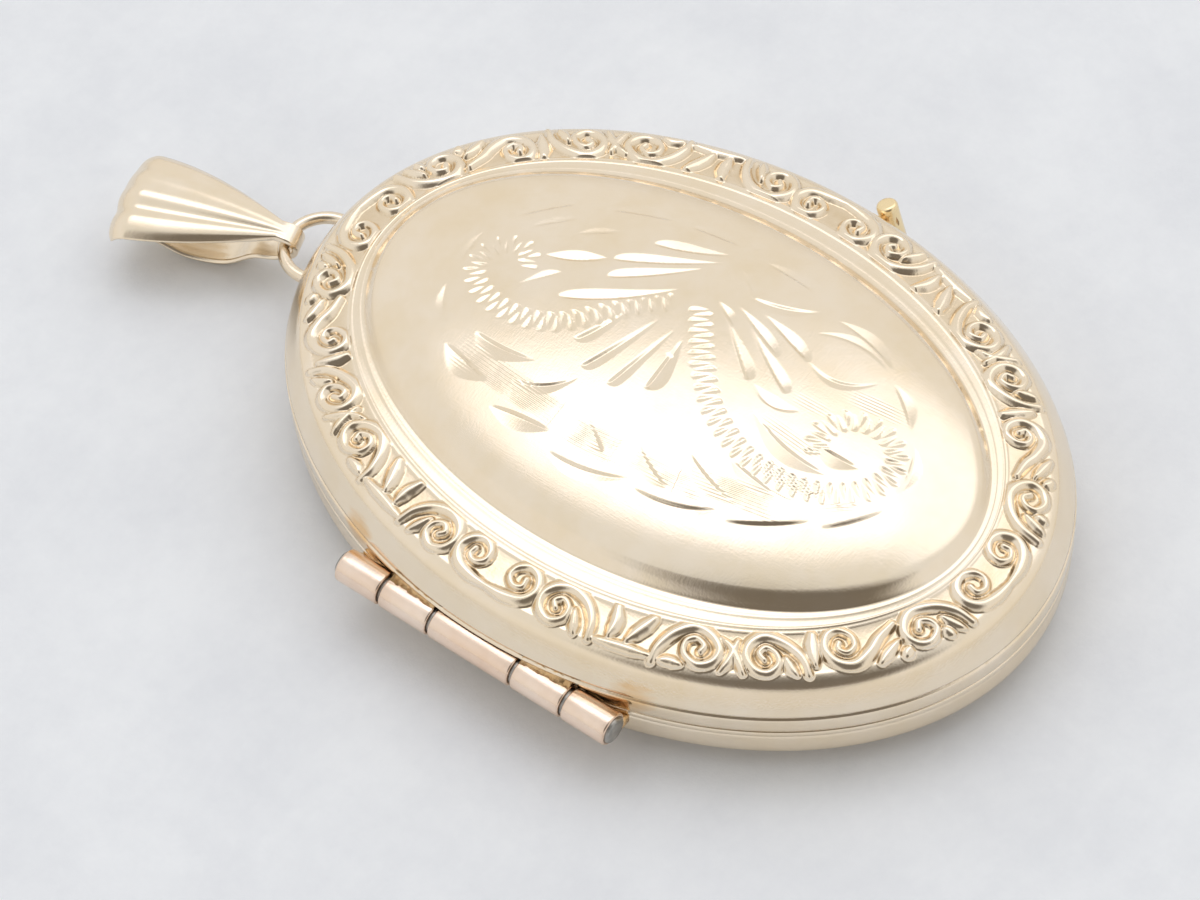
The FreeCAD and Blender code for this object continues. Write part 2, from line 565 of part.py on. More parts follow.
def side_loop(shop, body, name, thinner):
    """The bail's side view: four tangent arcs round the eye and the fold."""
    item = shop.sketch(body, name, "YZ_Plane")
    less = shop.size("bail_sheet") if thinner else 0.0
    minus = f" - {BOOK}bail_sheet" if thinner else ""
    aliases = ("eye_round", "leaf_arch", "fold_round", "belly_arch")
    radii = [shop.size(alias) - less for alias in aliases]
    eye = (0.0, 0.0, radii[0])
    fold = (shop.size("fold_reach"), -shop.size("fold_drop"), radii[2])
    centres = [Vector(0, 0, 0), tangent_centre(eye, fold, radii[1], True),
               Vector(fold[0], fold[1], 0), tangent_centre(eye, fold, radii[3], False)]
    touch = {}
    for arch in (1, 3):
        for small in (0, 2):
            way = (centres[small] - centres[arch]).normalize()
            touch[arch, small] = centres[small] + way * radii[small]
    corners = [(touch[3, 0], touch[1, 0]), (touch[1, 0], touch[1, 2]),
               (touch[1, 2], touch[3, 2]), (touch[3, 2], touch[3, 0])]
    for number, (begin, finish) in enumerate(corners):
        way = (begin - centres[number]) + (finish - centres[number])
        if number in (0, 2):
            way = Vector(-1 if number == 0 else 1, 0, 0)
        middle = centres[number] + way.normalize() * radii[number]
        item.addGeometry(Part.Arc(begin, middle, finish), False)
    for number in range(4):
        ends = []
        joint = corners[number][1]
        for which in (number, (number + 1) % 4):
            near = item.getPoint(which, 1).distanceToPoint(joint) < 1e-4
            ends += [which, 1 if near else 2]
        item.addConstraint(Sketcher.Constraint("Tangent", *ends))
    for number, alias in enumerate(aliases):
        bind(item, Sketcher.Constraint("Radius", number, radii[number]), BOOK + alias + minus)
    item.addConstraint(Sketcher.Constraint("Coincident", 0, 3, -1, 1))
    place_point(item, 2, 3, f"{BOOK}fold_reach", f"-{BOOK}fold_drop")
    return item


def plan_cut(shop, body, name, half_mid, half_end, up):
    """Trim the strip to its outline seen from the front, above or below a level."""
    item = shop.sketch(body, name + "Outline", level=f"{BOOK}strap_level")
    reach = shop.size("fold_reach") + shop.size("fold_round")
    neck, past_neck = shop.size("neck_half"), shop.size("neck_run")
    tail, finish = -2 * shop.size("eye_round"), reach + 0.25 * PAST
    wide = 2 * shop.size("fan_half")
    add_box(item, -wide, -PAST, wide, reach + PAST)
    place_point(item, 0, 1, f"{-wide}", f"{-PAST}")
    place_point(item, 2, 1, f"{wide}", f"{reach + PAST}")
    sides = []
    for side in (-1, 1):
        sides.append([Vector(side * neck, tail, 0), Vector(side * neck, past_neck, 0),
                      Vector(side * half_mid, 0.5 * reach, 0), Vector(side * half_end, finish, 0)])
    left, right = sides
    edges = [Part.LineSegment(left[0], left[1]), Part.Arc(left[1], left[2], left[3]),
             Part.LineSegment(left[3], right[3]), Part.Arc(right[3], right[2], right[1]),
             Part.LineSegment(right[1], right[0]), Part.LineSegment(right[0], left[0])]
    for edge in edges:
        item.addGeometry(edge, False)
    item.addConstraint([Sketcher.Constraint("Block", number) for number in range(4, 10)])
    return shop.pocket(body, name, item, f"4 * {BOOK}fold_round", up=up)


def bail(shop):
    """Folded strip: a wide fan-shaped front leaf and a narrow back leaf."""
    body = shop.doc.addObject("PartDesign::Body", "Bail")
    outer = side_loop(shop, body, "OuterLoop", False)
    shop.pad(body, "Loop", outer, f"2 * {BOOK}fan_half + 1", middle=True)
    inner = side_loop(shop, body, "InnerLoop", True)
    shop.pocket(body, "Opening", inner, f"2 * {BOOK}fan_half + 2", middle=True)
    plan_cut(shop, body, "FanTrim", shop.size("fan_bulge"), shop.size("fan_half"), True)
    plan_cut(shop, body, "StrapTrim", shop.size("strap_half"), shop.size("strap_half"), False)

    yaw = math.radians(shop.size("bail_yaw"))
    turn = FreeCAD.Rotation(Vector(0, 0, 1), shop.size("bail_yaw"))
    reach = shop.size("bow_radius")
    body.Placement = FreeCAD.Placement(Vector(shop.size("bow_x") - reach * math.sin(yaw),
                                              shop.size("bow_y") + reach * math.cos(yaw),
                                              shop.size("bow_level")), turn)
    return shop.done(body, "bail")


def check(shop):
    """Stop if any object failed or any sub-part isn't one valid closed solid."""
    for item in shop.doc.Objects:
        if {"Invalid", "Error"} & set(item.State):
            raise RuntimeError(f"{item.Name} ({item.Label}): {item.State}")
    for item in shop.subparts:
        shape = item.Shape
        if shape.isNull() or not shape.isValid() or len(shape.Solids) != 1:
            raise RuntimeError(f"{item.Label}: {len(shape.Solids)} solids, valid {shape.isValid()}")


def main():
    shop = Workshop()
    back_cover(shop)
    back_rim(shop)
    photo_set(shop, "back", f"{BOOK}back_ledge_level + {BOOK}ledge_depth", 1)
    front_cover(shop)
    front_rim(shop)
    photo_set(shop, "front", f"{BOOK}front_ledge_level - {BOOK}ledge_depth", -1)
    hinge(shop)
    trim = case_solid(shop, "WallTrim", "0", f"{BOOK}step_level")
    thumb_pin(shop, trim)
    case_bow(shop, trim)
    bail(shop)
    shop.doc.recompute()
    check(shop)
    os.makedirs("parts", exist_ok=True)
    for item in shop.subparts:
        item.Shape.exportStep(f"parts/{item.Label}.step")
        box = item.Shape.optimalBoundingBox()
        print(f"{item.Label:28s} {item.Shape.Volume:9.3f} mm3  x {box.XMin:7.2f} {box.XMax:7.2f}"
              f"  y {box.YMin:7.2f} {box.YMax:7.2f}  z {box.ZMin:6.2f} {box.ZMax:6.2f}")


main()
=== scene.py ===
import bpy
import json
import math
import numpy as np
from mathutils import Matrix, Vector


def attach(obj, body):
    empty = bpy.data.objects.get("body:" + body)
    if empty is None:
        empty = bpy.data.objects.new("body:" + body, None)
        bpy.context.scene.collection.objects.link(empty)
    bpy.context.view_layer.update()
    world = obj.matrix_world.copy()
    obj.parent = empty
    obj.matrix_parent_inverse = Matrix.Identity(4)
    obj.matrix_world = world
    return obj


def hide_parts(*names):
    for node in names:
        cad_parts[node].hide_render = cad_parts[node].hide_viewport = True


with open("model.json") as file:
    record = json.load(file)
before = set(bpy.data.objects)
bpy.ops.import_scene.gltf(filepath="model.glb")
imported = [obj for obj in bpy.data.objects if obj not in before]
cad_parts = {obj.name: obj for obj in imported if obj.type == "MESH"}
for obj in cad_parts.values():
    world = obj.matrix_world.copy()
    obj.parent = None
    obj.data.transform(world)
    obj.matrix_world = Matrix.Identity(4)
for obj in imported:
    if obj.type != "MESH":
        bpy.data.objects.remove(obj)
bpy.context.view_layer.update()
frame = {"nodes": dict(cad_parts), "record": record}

MM = 0.001
TAU = 2.0 * math.pi

# Case, as in the CAD frame.
HALF_WIDTH, HALF_LENGTH = 14.18, 19.0
SHEET = 0.4
SEAM = 3.0
SEAM_GAP = 0.03
CREASE = (13.26, 18.08, 5.45)
DOME_FOOT = (9.8, 15.4, 6.17)
CROWN_HALVES = (9.45, 15.05)
CROWN_TOP = 8.2
HINGE_X, HINGE_Z = -14.2, 3.0
KNUCKLE_RADIUS = 0.78
TROUGH_RADIUS, TROUGH_SHEET = 0.85, 0.16
HINGE_HALF = 7.4

# Scroll border: a band of one width just inside the crease, with raised beads.
BAND_WIDTH = 2.15
BAND_END = (CREASE[0] - BAND_WIDTH, CREASE[1] - BAND_WIDTH, 6.0)
RELIEF = 0.19
GROUND, GROUND_FROM = 0.09, 0.16
STAMP_DRIFT = 0.45

JOINTS = {joint["name"]: joint for joint in frame["record"]["behaviour"]["joints"]}


# --- mesh helpers ---
def add_piece(name, points, faces, body, replaced, material):
    """A mesh piece from points in millimetres, riding on a body of the frame."""
    mesh = bpy.data.meshes.new(name)
    mesh.from_pydata([tuple(point) for point in np.asarray(points) * MM], [], faces)
    mesh.validate()
    mesh.materials.append(material)
    mesh.polygons.foreach_set("use_smooth", [True] * len(mesh.polygons))
    mesh.update()
    piece = bpy.data.objects.new(name, mesh)
    bpy.context.scene.collection.objects.link(piece)
    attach(piece, body)
    if replaced:
        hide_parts(*replaced)
    return piece


def bridge(first, first_count, second, second_count):
    """Faces between two closed rings, of equal count or one twice the other."""
    faces = []
    if first_count == second_count:
        for i in range(first_count):
            j = (i + 1) % first_count
            faces.append((first + i, first + j, second + j, second + i))
    elif first_count == 2 * second_count:
        for i in range(second_count):
            j = (i + 1) % second_count
            a, b, c = first + 2 * i, first + 2 * i + 1, first + (2 * i + 2) % first_count
            faces.append((a, b, second + i))
            faces.append((b, c, second + j, second + i))
    else:
        for face in bridge(second, second_count, first, first_count):
            faces.append(tuple(reversed(face)))
    return faces


def ring_faces(counts, closed):
    """Faces of a stack of rings; `closed` joins the last ring to the first."""
    starts = np.concatenate(([0], np.cumsum(counts)))[:-1].tolist()
    faces = []
    for k in range(len(counts) - 1):
        faces += bridge(starts[k], counts[k], starts[k + 1], counts[k + 1])
    if closed:
        faces += bridge(starts[-1], counts[-1], starts[0], counts[0])
    else:
        faces.append(tuple(range(counts[0]))[::-1])
        faces.append(tuple(range(starts[-1], starts[-1] + counts[-1])))
    return faces


def oval_points(half_x, half_y, level, count):
    """One elliptical ring, counter-clockwise from +X."""
    angle = np.arange(count) * TAU / count
    return np.stack([half_x * np.cos(angle), half_y * np.sin(angle), np.full(count, level)], 1)


def inset_ovals(rows):
    """(half x, half y, level) of ovals that stand in from the case's outline."""
    return [(HALF_WIDTH - inset, HALF_LENGTH - inset, level) for inset, level in rows]


def rounded(corners, radius, steps=4):
    """A closed outline with each corner replaced by a short arc."""
    points = []
    for k, corner in enumerate(corners):
        corner = Vector(corner)
        before = Vector(corners[k - 1]) - corner
        after = Vector(corners[(k + 1) % len(corners)]) - corner
        cut = min(radius, 0.45 * before.length, 0.45 * after.length)
        start, end = corner + before.normalized() * cut, corner + after.normalized() * cut
        for step in range(steps + 1):
            f = step / steps
            points.append(tuple(start * (1 - f) ** 2 + corner * 2 * f * (1 - f) + end * f ** 2))
    return points


def tube(path, radii, sides):
    """Points and faces of a round bar along a path, with closed ends."""
    path = [Vector(point) for point in path]
    points, normal = [], Vector((0.0, 0.0, 1.0))
    for k, centre in enumerate(path):
        ahead = path[min(k + 1, len(path) - 1)] - path[max(k - 1, 0)]
        ahead.normalize()
        if abs(ahead.dot(normal)) > 0.95:
            normal = Vector((1.0, 0.0, 0.0))
        side = ahead.cross(normal).normalized()
        normal = side.cross(ahead).normalized()
        for i in range(sides):
            angle = TAU * i / sides
            points.append(centre + (side * math.cos(angle) + normal * math.sin(angle)) * radii[k])
    return points, ring_faces([sides] * len(path), False)


def turned(profile, origin, axis, sides):
    """Points of a profile of (radius, height) turned round an axis, ring by ring."""
    axis = Vector(axis).normalized()
    side = axis.orthogonal().normalized()
    other = axis.cross(side)
    origin = Vector(origin)
    points = []
    for radius, height in profile:
        for i in range(sides):
            angle = TAU * i / sides
            points.append(origin + axis * height
                          + (side * math.cos(angle) + other * math.sin(angle)) * radius)
    return points


# --- strokes ---
def swell(along, peak):
    """Width of a cut along its length: nought at both ends, one at `peak`."""
    power = math.log(0.5) / math.log(peak)
    return np.sin(math.pi * np.clip(along, 0, 1) ** power)


# Graver cuts: run of the steep wall, and how deep a cut goes for its width.
WALL_RUN = 0.13
LEAF_SLOPE, RAY_SLOPE, RIBBON_SLOPE = 0.15, 0.22, 0.28


def carve(x, y, depth, start, end, sharp, soft, peak, slope):
    """Deepen `depth` by one graver cut.

    The cut lies between two shallow arcs from `start` to `end`.  `sharp` and
    `soft` are how far those arcs stand to the left of the chord.  The floor
    sinks evenly from the soft side and ends in a steep wall at the sharp side.
    """
    run_x, run_y = end[0] - start[0], end[1] - start[1]
    length = math.hypot(run_x, run_y)
    run_x, run_y = run_x / length, run_y / length
    along = ((x - start[0]) * run_x + (y - start[1]) * run_y) / length
    across = (y - start[1]) * run_x - (x - start[0]) * run_y
    near = (along > 0) & (along < 1) & (np.abs(across) < abs(sharp) + abs(soft) + 0.1)
    along, across = along[near], across[near]
    bow = 4 * along * (1 - along)
    width = np.maximum(abs(soft - sharp) * swell(along, peak), 1e-6)
    side = 1.0 if soft > sharp else -1.0
    travel = (across - sharp * bow) * side
    floor = np.clip(1.0 - travel / width, 0, 1) * np.clip(1.0 + travel / WALL_RUN, 0, 1)
    depth[near] = np.maximum(depth[near], slope * width * floor)


# Leaf cuts: start, end, sharp side, soft side, where the cut is widest.
LEAF_CUTS = [
    ((-4.7, 8.8), (-5.4, 6.0), 0.05, -0.75, 0.5), ((-3.6, 7.9), (-3.5, 4.8), -0.12, -0.8, 0.4),
    ((-3.8, 9.5), (-2.0, 10.8), 0.1, 0.5, 0.5), ((-1.0, 11.0), (1.4, 11.2), 0.05, 0.45, 0.5),
    ((-6.3, 5.1), (-6.0, 2.1), 0.1, -0.6, 0.5), ((-4.8, 5.0), (-3.2, 2.6), -0.33, -0.78, 0.45),
    ((-6.8, 1.5), (-6.0, -2.3), -0.25, -0.75, 0.4), ((-4.4, 1.4), (-5.6, -0.5), 0.0, -0.5, 0.75),
    ((-4.1, -1.1), (-5.5, -3.9), -0.2, -0.7, 0.7), ((-6.3, -2.6), (-5.1, -6.3), -0.3, -0.95, 0.5),
    ((-3.6, -3.6), (-4.5, -6.7), -0.15, -0.7, 0.45), ((-5.4, -6.8), (-3.3, -9.8), -0.12, -0.8, 0.45),
    ((-2.9, -5.3), (-3.2, -7.8), 0.0, -0.55, 0.5), ((-0.3, -4.6), (-1.1, -9.0), -0.33, -1.0, 0.55),
    ((-3.3, -10.3), (-0.9, -12.0), -0.1, -0.6, 0.4), ((0.1, -11.9), (2.5, -11.1), -0.18, -0.65, 0.5),
    ((-0.1, -7.9), (0.0, -9.9), 0.0, -0.65, 0.45), ((0.9, -3.9), (0.9, -6.2), -0.5, 0.0, 0.5),
    ((3.3, -4.9), (4.2, -8.0), -0.65, -1.0, 0.5), ((4.9, -4.4), (5.2, -7.8), 0.45, 0.8, 0.5),
    ((6.1, -4.7), (5.4, -8.0), 0.2, 0.7, 0.5), ((4.7, -8.6), (3.1, -10.5), 0.1, 0.6, 0.5),
    ((4.7, -0.9), (5.9, -3.8), -0.2, -0.65, 0.45), ((6.9, -0.1), (6.8, -3.0), 0.1, 0.5, 0.5),
    ((5.8, 0.2), (4.6, -1.3), 0.0, 0.25, 0.4), ((2.7, 10.6), (5.0, 8.7), 0.1, 0.6, 0.5),
    ((2.4, 9.7), (4.3, 8.0), 0.05, 0.45, 0.5), ((5.4, 7.4), (6.6, 4.5), 0.1, 0.65, 0.5),
    ((3.2, 7.7), (4.6, 5.9), 0.05, 0.4, 0.5), ((6.7, 3.9), (7.1, 1.2), 0.05, 0.5, 0.5),
    ((-0.8, 8.2), (1.1, 6.7), 0.0, 0.35, 0.7),
]
# Long rays fanning out of the middle, widest near their outer end.
RAY_CUTS = [
    ((-2.6, 2.8), (1.3, 1.5), -0.05, -0.48, 0.15), ((-2.7, 1.3), (1.2, 0.6), 0.0, -0.42, 0.14),
    ((-2.0, -0.2), (0.9, 0.0), 0.0, -0.62, 0.25), ((-1.6, 3.9), (0.9, 2.9), -0.05, -0.45, 0.2),
    ((-0.1, 6.0), (3.3, 1.8), -0.32, 0.18, 0.3), ((2.0, 4.9), (5.0, 1.6), -0.15, 0.3, 0.25),
    ((3.0, 5.3), (5.8, 1.1), -0.15, 0.32, 0.25), ((4.8, 4.4), (6.4, 1.1), -0.15, 0.36, 0.3),
    ((1.5, 8.0), (2.9, 5.5), -0.18, 0.36, 0.5), ((0.9, -3.5), (3.0, -1.0), 0.0, -0.45, 0.2),
    ((1.3, -5.2), (3.3, -2.0), 0.05, -0.42, 0.2), ((2.7, -3.8), (4.0, -0.8), 0.0, -0.42, 0.35),
    ((3.3, -5.0), (4.3, -2.0), 0.0, -0.5, 0.35), ((2.9, -1.3), (3.7, 0.0), 0.0, -0.35, 0.4),
]
# The two wriggle-cut ribbons that curl away from the middle.
UPPER_RIBBON = [(2.4, 1.7), (1.2, 2.9), (0.0, 3.9), (-1.1, 4.9), (-1.65, 5.8), (-1.9, 6.7),
                (-1.95, 7.6), (-1.8, 8.6), (-1.4, 9.5), (-0.7, 10.2), (0.2, 10.35), (1.0, 9.95),
                (1.35, 9.2), (1.1, 8.5), (0.5, 8.2)]
LOWER_RIBBON = [(2.8, 0.4), (2.0, -0.2), (1.2, -0.8), (0.3, -1.5), (-0.5, -2.3), (-1.2, -3.1),
                (-1.7, -4.0), (-2.1, -4.9), (-2.35, -5.8), (-2.45, -6.8), (-2.4, -7.8), (-2.15, -8.8),
                (-1.7, -9.7), (-1.0, -10.5), (-0.1, -11.0), (0.9, -11.1), (1.7, -10.7), (2.15, -9.9),
                (2.15, -9.0), (1.8, -8.2), (1.1, -7.7), (0.3, -7.6), (-0.4, -8.0)]
RIBBON_HALF, RIBBON_FAR = 0.54, 0.7
RIBBON_PITCH = 0.6
WEDGE_WIDTH, WEDGE_PEAK = 0.2, 0.28
# Finely lined patches: their middle line and half width.
HATCH_PITCH = 0.16
PATCH_SPACING, PATCH_REACH = 0.25, 0.3
PATCH_FADE, PATCH_ENDS = 0.3, 5.0
LINED_PATCHES = [
    ([(-4.6, 8.2), (-4.8, 6.6), (-5.0, 4.6), (-5.2, 2.2)], 0.8),
    ([(-5.4, 2.0), (-5.4, 0.4), (-5.2, -1.4)], 0.85),
    ([(-5.2, -1.2), (-5.0, -3.4), (-4.8, -6.0)], 0.62),
    ([(-4.6, -4.2), (-4.1, -6.4), (-3.6, -8.6)], 0.8),
    ([(-2.0, -5.6), (-2.2, -7.6), (-1.9, -9.4)], 0.55),
    ([(-0.4, -5.0), (-0.6, -8.4)], 0.45), ([(1.4, -5.6), (1.5, -7.2)], 0.45),
    ([(2.9, -7.4), (3.4, -10.1)], 0.55), ([(-2.6, -9.6), (-1.2, -11.2)], 0.4),
]


def smooth_path(points, spacing):
    """Evenly spaced points on a Catmull-Rom curve through the given points."""
    points = [np.array(point, float) for point in points]
    points = [2 * points[0] - points[1]] + points + [2 * points[-1] - points[-2]]
    fine = []
    for a, b, c, d in zip(points, points[1:], points[2:], points[3:]):
        for f in np.arange(24) / 24:
            fine.append(0.5 * (2 * b + (c - a) * f + (2 * a - 5 * b + 4 * c - d) * f ** 2
                               + (3 * b - a - 3 * c + d) * f ** 3))
    fine = np.array(fine + [points[-2]])
    walked = np.concatenate(([0], np.cumsum(np.linalg.norm(np.diff(fine, axis=0), axis=1))))
    at = np.linspace(0, walked[-1], max(2, int(round(walked[-1] / spacing)) + 1))
    return np.stack([np.interp(at, walked, fine[:, k]) for k in range(fine.shape[1])], 1)


def carve_ribbon(x, y, depth, points):
    """Wedge cuts set across a ribbon, broad at its left edge and right edge in turn."""
    path = smooth_path(points, RIBBON_PITCH / 2)
    ahead = np.gradient(path, axis=0)
    ahead /= np.linalg.norm(ahead, axis=1)[:, None]
    left = np.stack([-ahead[:, 1], ahead[:, 0]], 1)
    for k in range(len(path)):
        side = 1 if k % 2 else -1
        start = path[k] + left[k] * side * RIBBON_HALF
        end = path[k] - left[k] * side * RIBBON_HALF * RIBBON_FAR
        carve(x, y, depth, start, end, 0.0, -WEDGE_WIDTH * side, WEDGE_PEAK, RIBBON_SLOPE)


def engraving_depth(x, y):
    """How far the graver has cut below the dome at each plan position."""
    depth = np.zeros_like(x)
    for cuts, slope in ((LEAF_CUTS, LEAF_SLOPE), (RAY_CUTS, RAY_SLOPE)):
        for start, end, sharp, soft, peak in cuts:
            carve(x, y, depth, start, end, sharp, soft, peak, slope)
    for ribbon in (UPPER_RIBBON, LOWER_RIBBON):
        carve_ribbon(x, y, depth, ribbon)
    return depth


def lined_patches(x, y):
    """Distance across the nearest lined patch, and how fully it is lined."""
    across, mask = np.zeros_like(x), np.zeros_like(x)
    for points, half in LINED_PATCHES:
        path = smooth_path(points, PATCH_SPACING)
        ahead = np.gradient(path, axis=0)
        ahead /= np.linalg.norm(ahead, axis=1)[:, None]
        best = np.full(x.shape, 1e9)
        for k, (centre, way) in enumerate(zip(path, ahead)):
            dx, dy = x - centre[0], y - centre[1]
            along, aside = dx * way[0] + dy * way[1], dy * way[0] - dx * way[1]
            inside = (np.abs(along) < PATCH_REACH) & (np.abs(aside) < half + PATCH_REACH)
            inside &= np.abs(along) < best
            best[inside] = np.abs(along[inside])
            across[inside] = aside[inside]
            fade = np.clip((half - np.abs(aside[inside])) / PATCH_FADE, 0, 1)
            ends = min(1.0, (k + 0.5) / PATCH_ENDS, (len(path) - k - 0.5) / PATCH_ENDS)
            mask[inside] = np.maximum(mask[inside], fade * ends)
    return across, mask


# --- scroll border ---
# The beads of a quarter of the border: points as (along, across) from the middle of
# the hinge side, then half widths from the first point to the last.  Across is
# measured from the crease towards the dome.
SCROLL_TAPER = (0.22, 0.33, 0.35, 0.34, 0.3, 0.26, 0.23, 0.24)
LOBE_TAPER = (0.18, 0.37, 0.4, 0.28)
LEAF_TAPER = (0.15, 0.29, 0.31, 0.18)
BEAD_SPACING = 0.05
FULL_BEAD = 0.2
BORDER_BEADS = [
    ([(0.0, 0.42), (0.9, 0.45), (1.7, 0.68), (2.08, 1.25), (1.85, 1.85), (1.3, 2.08), (0.78, 1.8),
      (0.68, 1.32), (1.03, 1.02), (1.42, 1.14), (1.42, 1.5)], (0.2,) + SCROLL_TAPER[1:]),
    ([(4.95, 0.32), (4.85, 1.1), (4.4, 1.75), (3.6, 2.08), (2.85, 1.9), (2.42, 1.35), (2.55, 0.72),
      (3.1, 0.42), (3.67, 0.72), (3.72, 1.22), (3.35, 1.5), (3.02, 1.26), (3.18, 1.0)], SCROLL_TAPER),
    ([(4.0, 1.3), (4.15, 0.8), (4.3, 0.32)], LEAF_TAPER),
    ([(5.1, 0.42), (6.3, 0.46), (7.5, 0.42)], LEAF_TAPER),
    ([(5.72, 0.72), (5.86, 1.4), (5.78, 2.05)], LOBE_TAPER),
    ([(6.5, 0.74), (6.9, 1.3), (7.5, 2.02)], LOBE_TAPER),
    ([(7.65, 0.22), (7.85, 0.9), (8.45, 1.65), (9.3, 2.08), (10.05, 1.82), (10.4, 1.22), (10.1, 0.66),
      (9.45, 0.46), (8.93, 0.83), (8.98, 1.35), (9.4, 1.58), (9.76, 1.3), (9.6, 1.0)], SCROLL_TAPER),
    ([(7.95, 0.34), (8.35, 0.4), (8.8, 0.34)], LEAF_TAPER),
    ([(10.4, 0.3), (10.8, 0.85), (11.2, 1.7)], LEAF_TAPER),
    ([(10.5, 1.75), (10.95, 1.3), (11.3, 0.3)], LEAF_TAPER),
    ([(13.85, 0.25), (13.75, 1.0), (13.2, 1.65), (12.4, 1.98), (11.75, 1.67), (11.48, 1.07),
      (11.75, 0.52), (12.3, 0.38), (12.77, 0.75), (12.72, 1.22), (12.35, 1.47), (12.04, 1.2),
      (12.2, 0.92)], SCROLL_TAPER),
    ([(13.4, 0.28), (13.2, 0.6), (13.1, 1.0)], LEAF_TAPER),
    ([(14.2, 0.65), (14.25, 1.3), (14.4, 1.98)], LOBE_TAPER),
    ([(17.9, 1.78), (17.1, 1.38), (16.5, 0.88), (15.75, 0.48), (15.05, 0.7), (14.75, 1.3),
      (15.0, 1.88), (15.5, 2.08), (15.97, 1.75), (15.98, 1.27), (15.6, 1.02), (15.28, 1.22),
      (15.4, 1.5)], SCROLL_TAPER),
    ([(17.75, 1.0), (17.2, 0.65), (16.7, 0.3)], LEAF_TAPER),
    ([(18.0, 0.55), (17.7, 0.25)], LEAF_TAPER),
    ([(20.75, 0.3), (20.5, 1.15), (19.9, 1.75), (19.0, 1.98), (18.4, 1.68), (18.12, 1.12),
      (18.38, 0.6), (18.92, 0.46), (19.38, 0.8), (19.32, 1.25), (18.95, 1.42), (18.72, 1.12)],
     SCROLL_TAPER),
    ([(20.3, 0.26), (20.1, 0.65), (19.85, 1.15)], LEAF_TAPER),
    ([(19.75, 0.28), (19.65, 0.65)], LEAF_TAPER),
    ([(23.1, 0.42), (22.2, 0.45), (21.5, 0.66), (21.12, 1.2), (21.3, 1.83), (21.88, 2.1), (22.42, 1.83),
      (22.52, 1.33), (22.2, 1.02), (21.8, 1.14), (21.78, 1.5)], (0.2,) + SCROLL_TAPER[1:]),
]


def bead_rows():
    """Rows of (along, across, half width) for all the beads of a quarter."""
    rows = []
    for points, widths in BORDER_BEADS:
        path = smooth_path(points, BEAD_SPACING)
        knots = np.linspace(0, 1, len(widths))
        rows.append(np.column_stack([path, np.interp(np.linspace(0, 1, len(path)), knots, widths)]))
    return np.concatenate(rows)


def border_relief(along, across, quarter):
    """Relief height, nought to one, on a grid of the border's own coordinates."""
    relief = np.zeros((len(across), len(along)))
    folded = np.abs((along + quarter) % (2 * quarter) - quarter)
    for row in bead_rows():
        for place in (row[0], -row[0], 2 * quarter - row[0]):
            reach = np.nonzero(np.abs(folded - place) < row[2])[0]
            if not len(reach):
                continue
            gap = (folded[reach][None, :] - place) ** 2 + (across[:, None] - row[1]) ** 2
            dome = np.clip(1 - gap / row[2] ** 2, 0, 1) * min(1.0, row[2] / FULL_BEAD)
            relief[:, reach] = np.maximum(relief[:, reach], dome)
    return relief


# --- covers ---
# Points round each outside ring of the front cover, fewer towards its middle.
COARSE, EVEN, FINE = 480, 960, 1920
CROWN_ROUND, CROWN_DROP = 1.12, 0.5
ENGRAVED_FROM, ENGRAVED_TO = 0.43, 0.86
BORDER_SWELL, BORDER_SWELL_RUN = 0.24, 0.35
# Faint ridges of the plain band: place, width, height.
BAND_RIDGES = ((0.22, 0.07, 0.03), (0.72, 0.09, 0.022))


def blend_oval(low, high, f):
    """Half widths and level a fraction of the way from one oval to another."""
    return tuple(a + (b - a) * f for a, b in zip(low, high))


def crown_level(r):
    """Level of the dome's crown at a fraction of its outline: flat, then falling faster."""
    return CROWN_TOP - CROWN_ROUND * r ** 2 - CROWN_DROP * r ** 6


def front_stations():
    """Rings of the front cover's outside: (half x, half y, level, count, kind)."""
    wall = [(0.07, SEAM + SEAM_GAP), (0.02, 3.07), (0.0, 3.14), (0.0, 3.3), (0.0, 3.6), (0.0, 3.8),
            (0.01, 3.87), (0.04, 3.92), (0.12, 3.95), (0.14, 3.99), (0.11, 4.03), (0.07, 4.08),
            (0.09, 4.16), (0.15, 4.3), (0.24, 4.47), (0.34, 4.65), (0.44, 4.82), (0.54, 4.99),
            (0.63, 5.13), (0.7, 5.235), (0.76, 5.31), (0.82, 5.37), (0.87, 5.415), (0.92, 5.45)]
    rings = [(*oval, EVEN, "wall") for oval in inset_ovals(wall)]
    for f in np.linspace(0, 1, 44)[1:]:
        half_x, half_y, level = blend_oval(CREASE, BAND_END, f)
        swell_up = BORDER_SWELL * (1 - math.exp(-f / BORDER_SWELL_RUN)) * (1 - f)
        rings.append((half_x, half_y, level + swell_up, FINE, "scroll"))
    for f in np.linspace(0, 0.95, 24)[1:]:
        ridge = sum(height * math.exp(-((f - place) / width) ** 2)
                    for place, width, height in BAND_RIDGES)
        half_x, half_y, level = blend_oval(BAND_END, DOME_FOOT, f)
        rings.append((half_x, half_y, level + ridge, EVEN, "band"))
    step = [(0.02, 6.18), (0.05, 6.205), (0.1, 6.25), (0.17, 6.32), (0.25, 6.4), (0.33, 6.475),
            (0.4, 6.54), (0.46, 6.585), (0.52, 6.625)]
    for inset, level in step:
        rings.append((DOME_FOOT[0] - inset, DOME_FOOT[1] - inset, level, EVEN, "band"))
    for r in np.concatenate((np.linspace(0.972, 0.86, 14), np.linspace(0.854, 0.43, 84),
                             np.linspace(0.425, 0.215, 42), np.linspace(0.21, 0.01, 40))):
        count = FINE if ENGRAVED_FROM <= r < ENGRAVED_TO else (EVEN if r > 0.215 else COARSE)
        rings.append((CROWN_HALVES[0] * r, CROWN_HALVES[1] * r, float(crown_level(r)),
                      count, "dome"))
    return rings


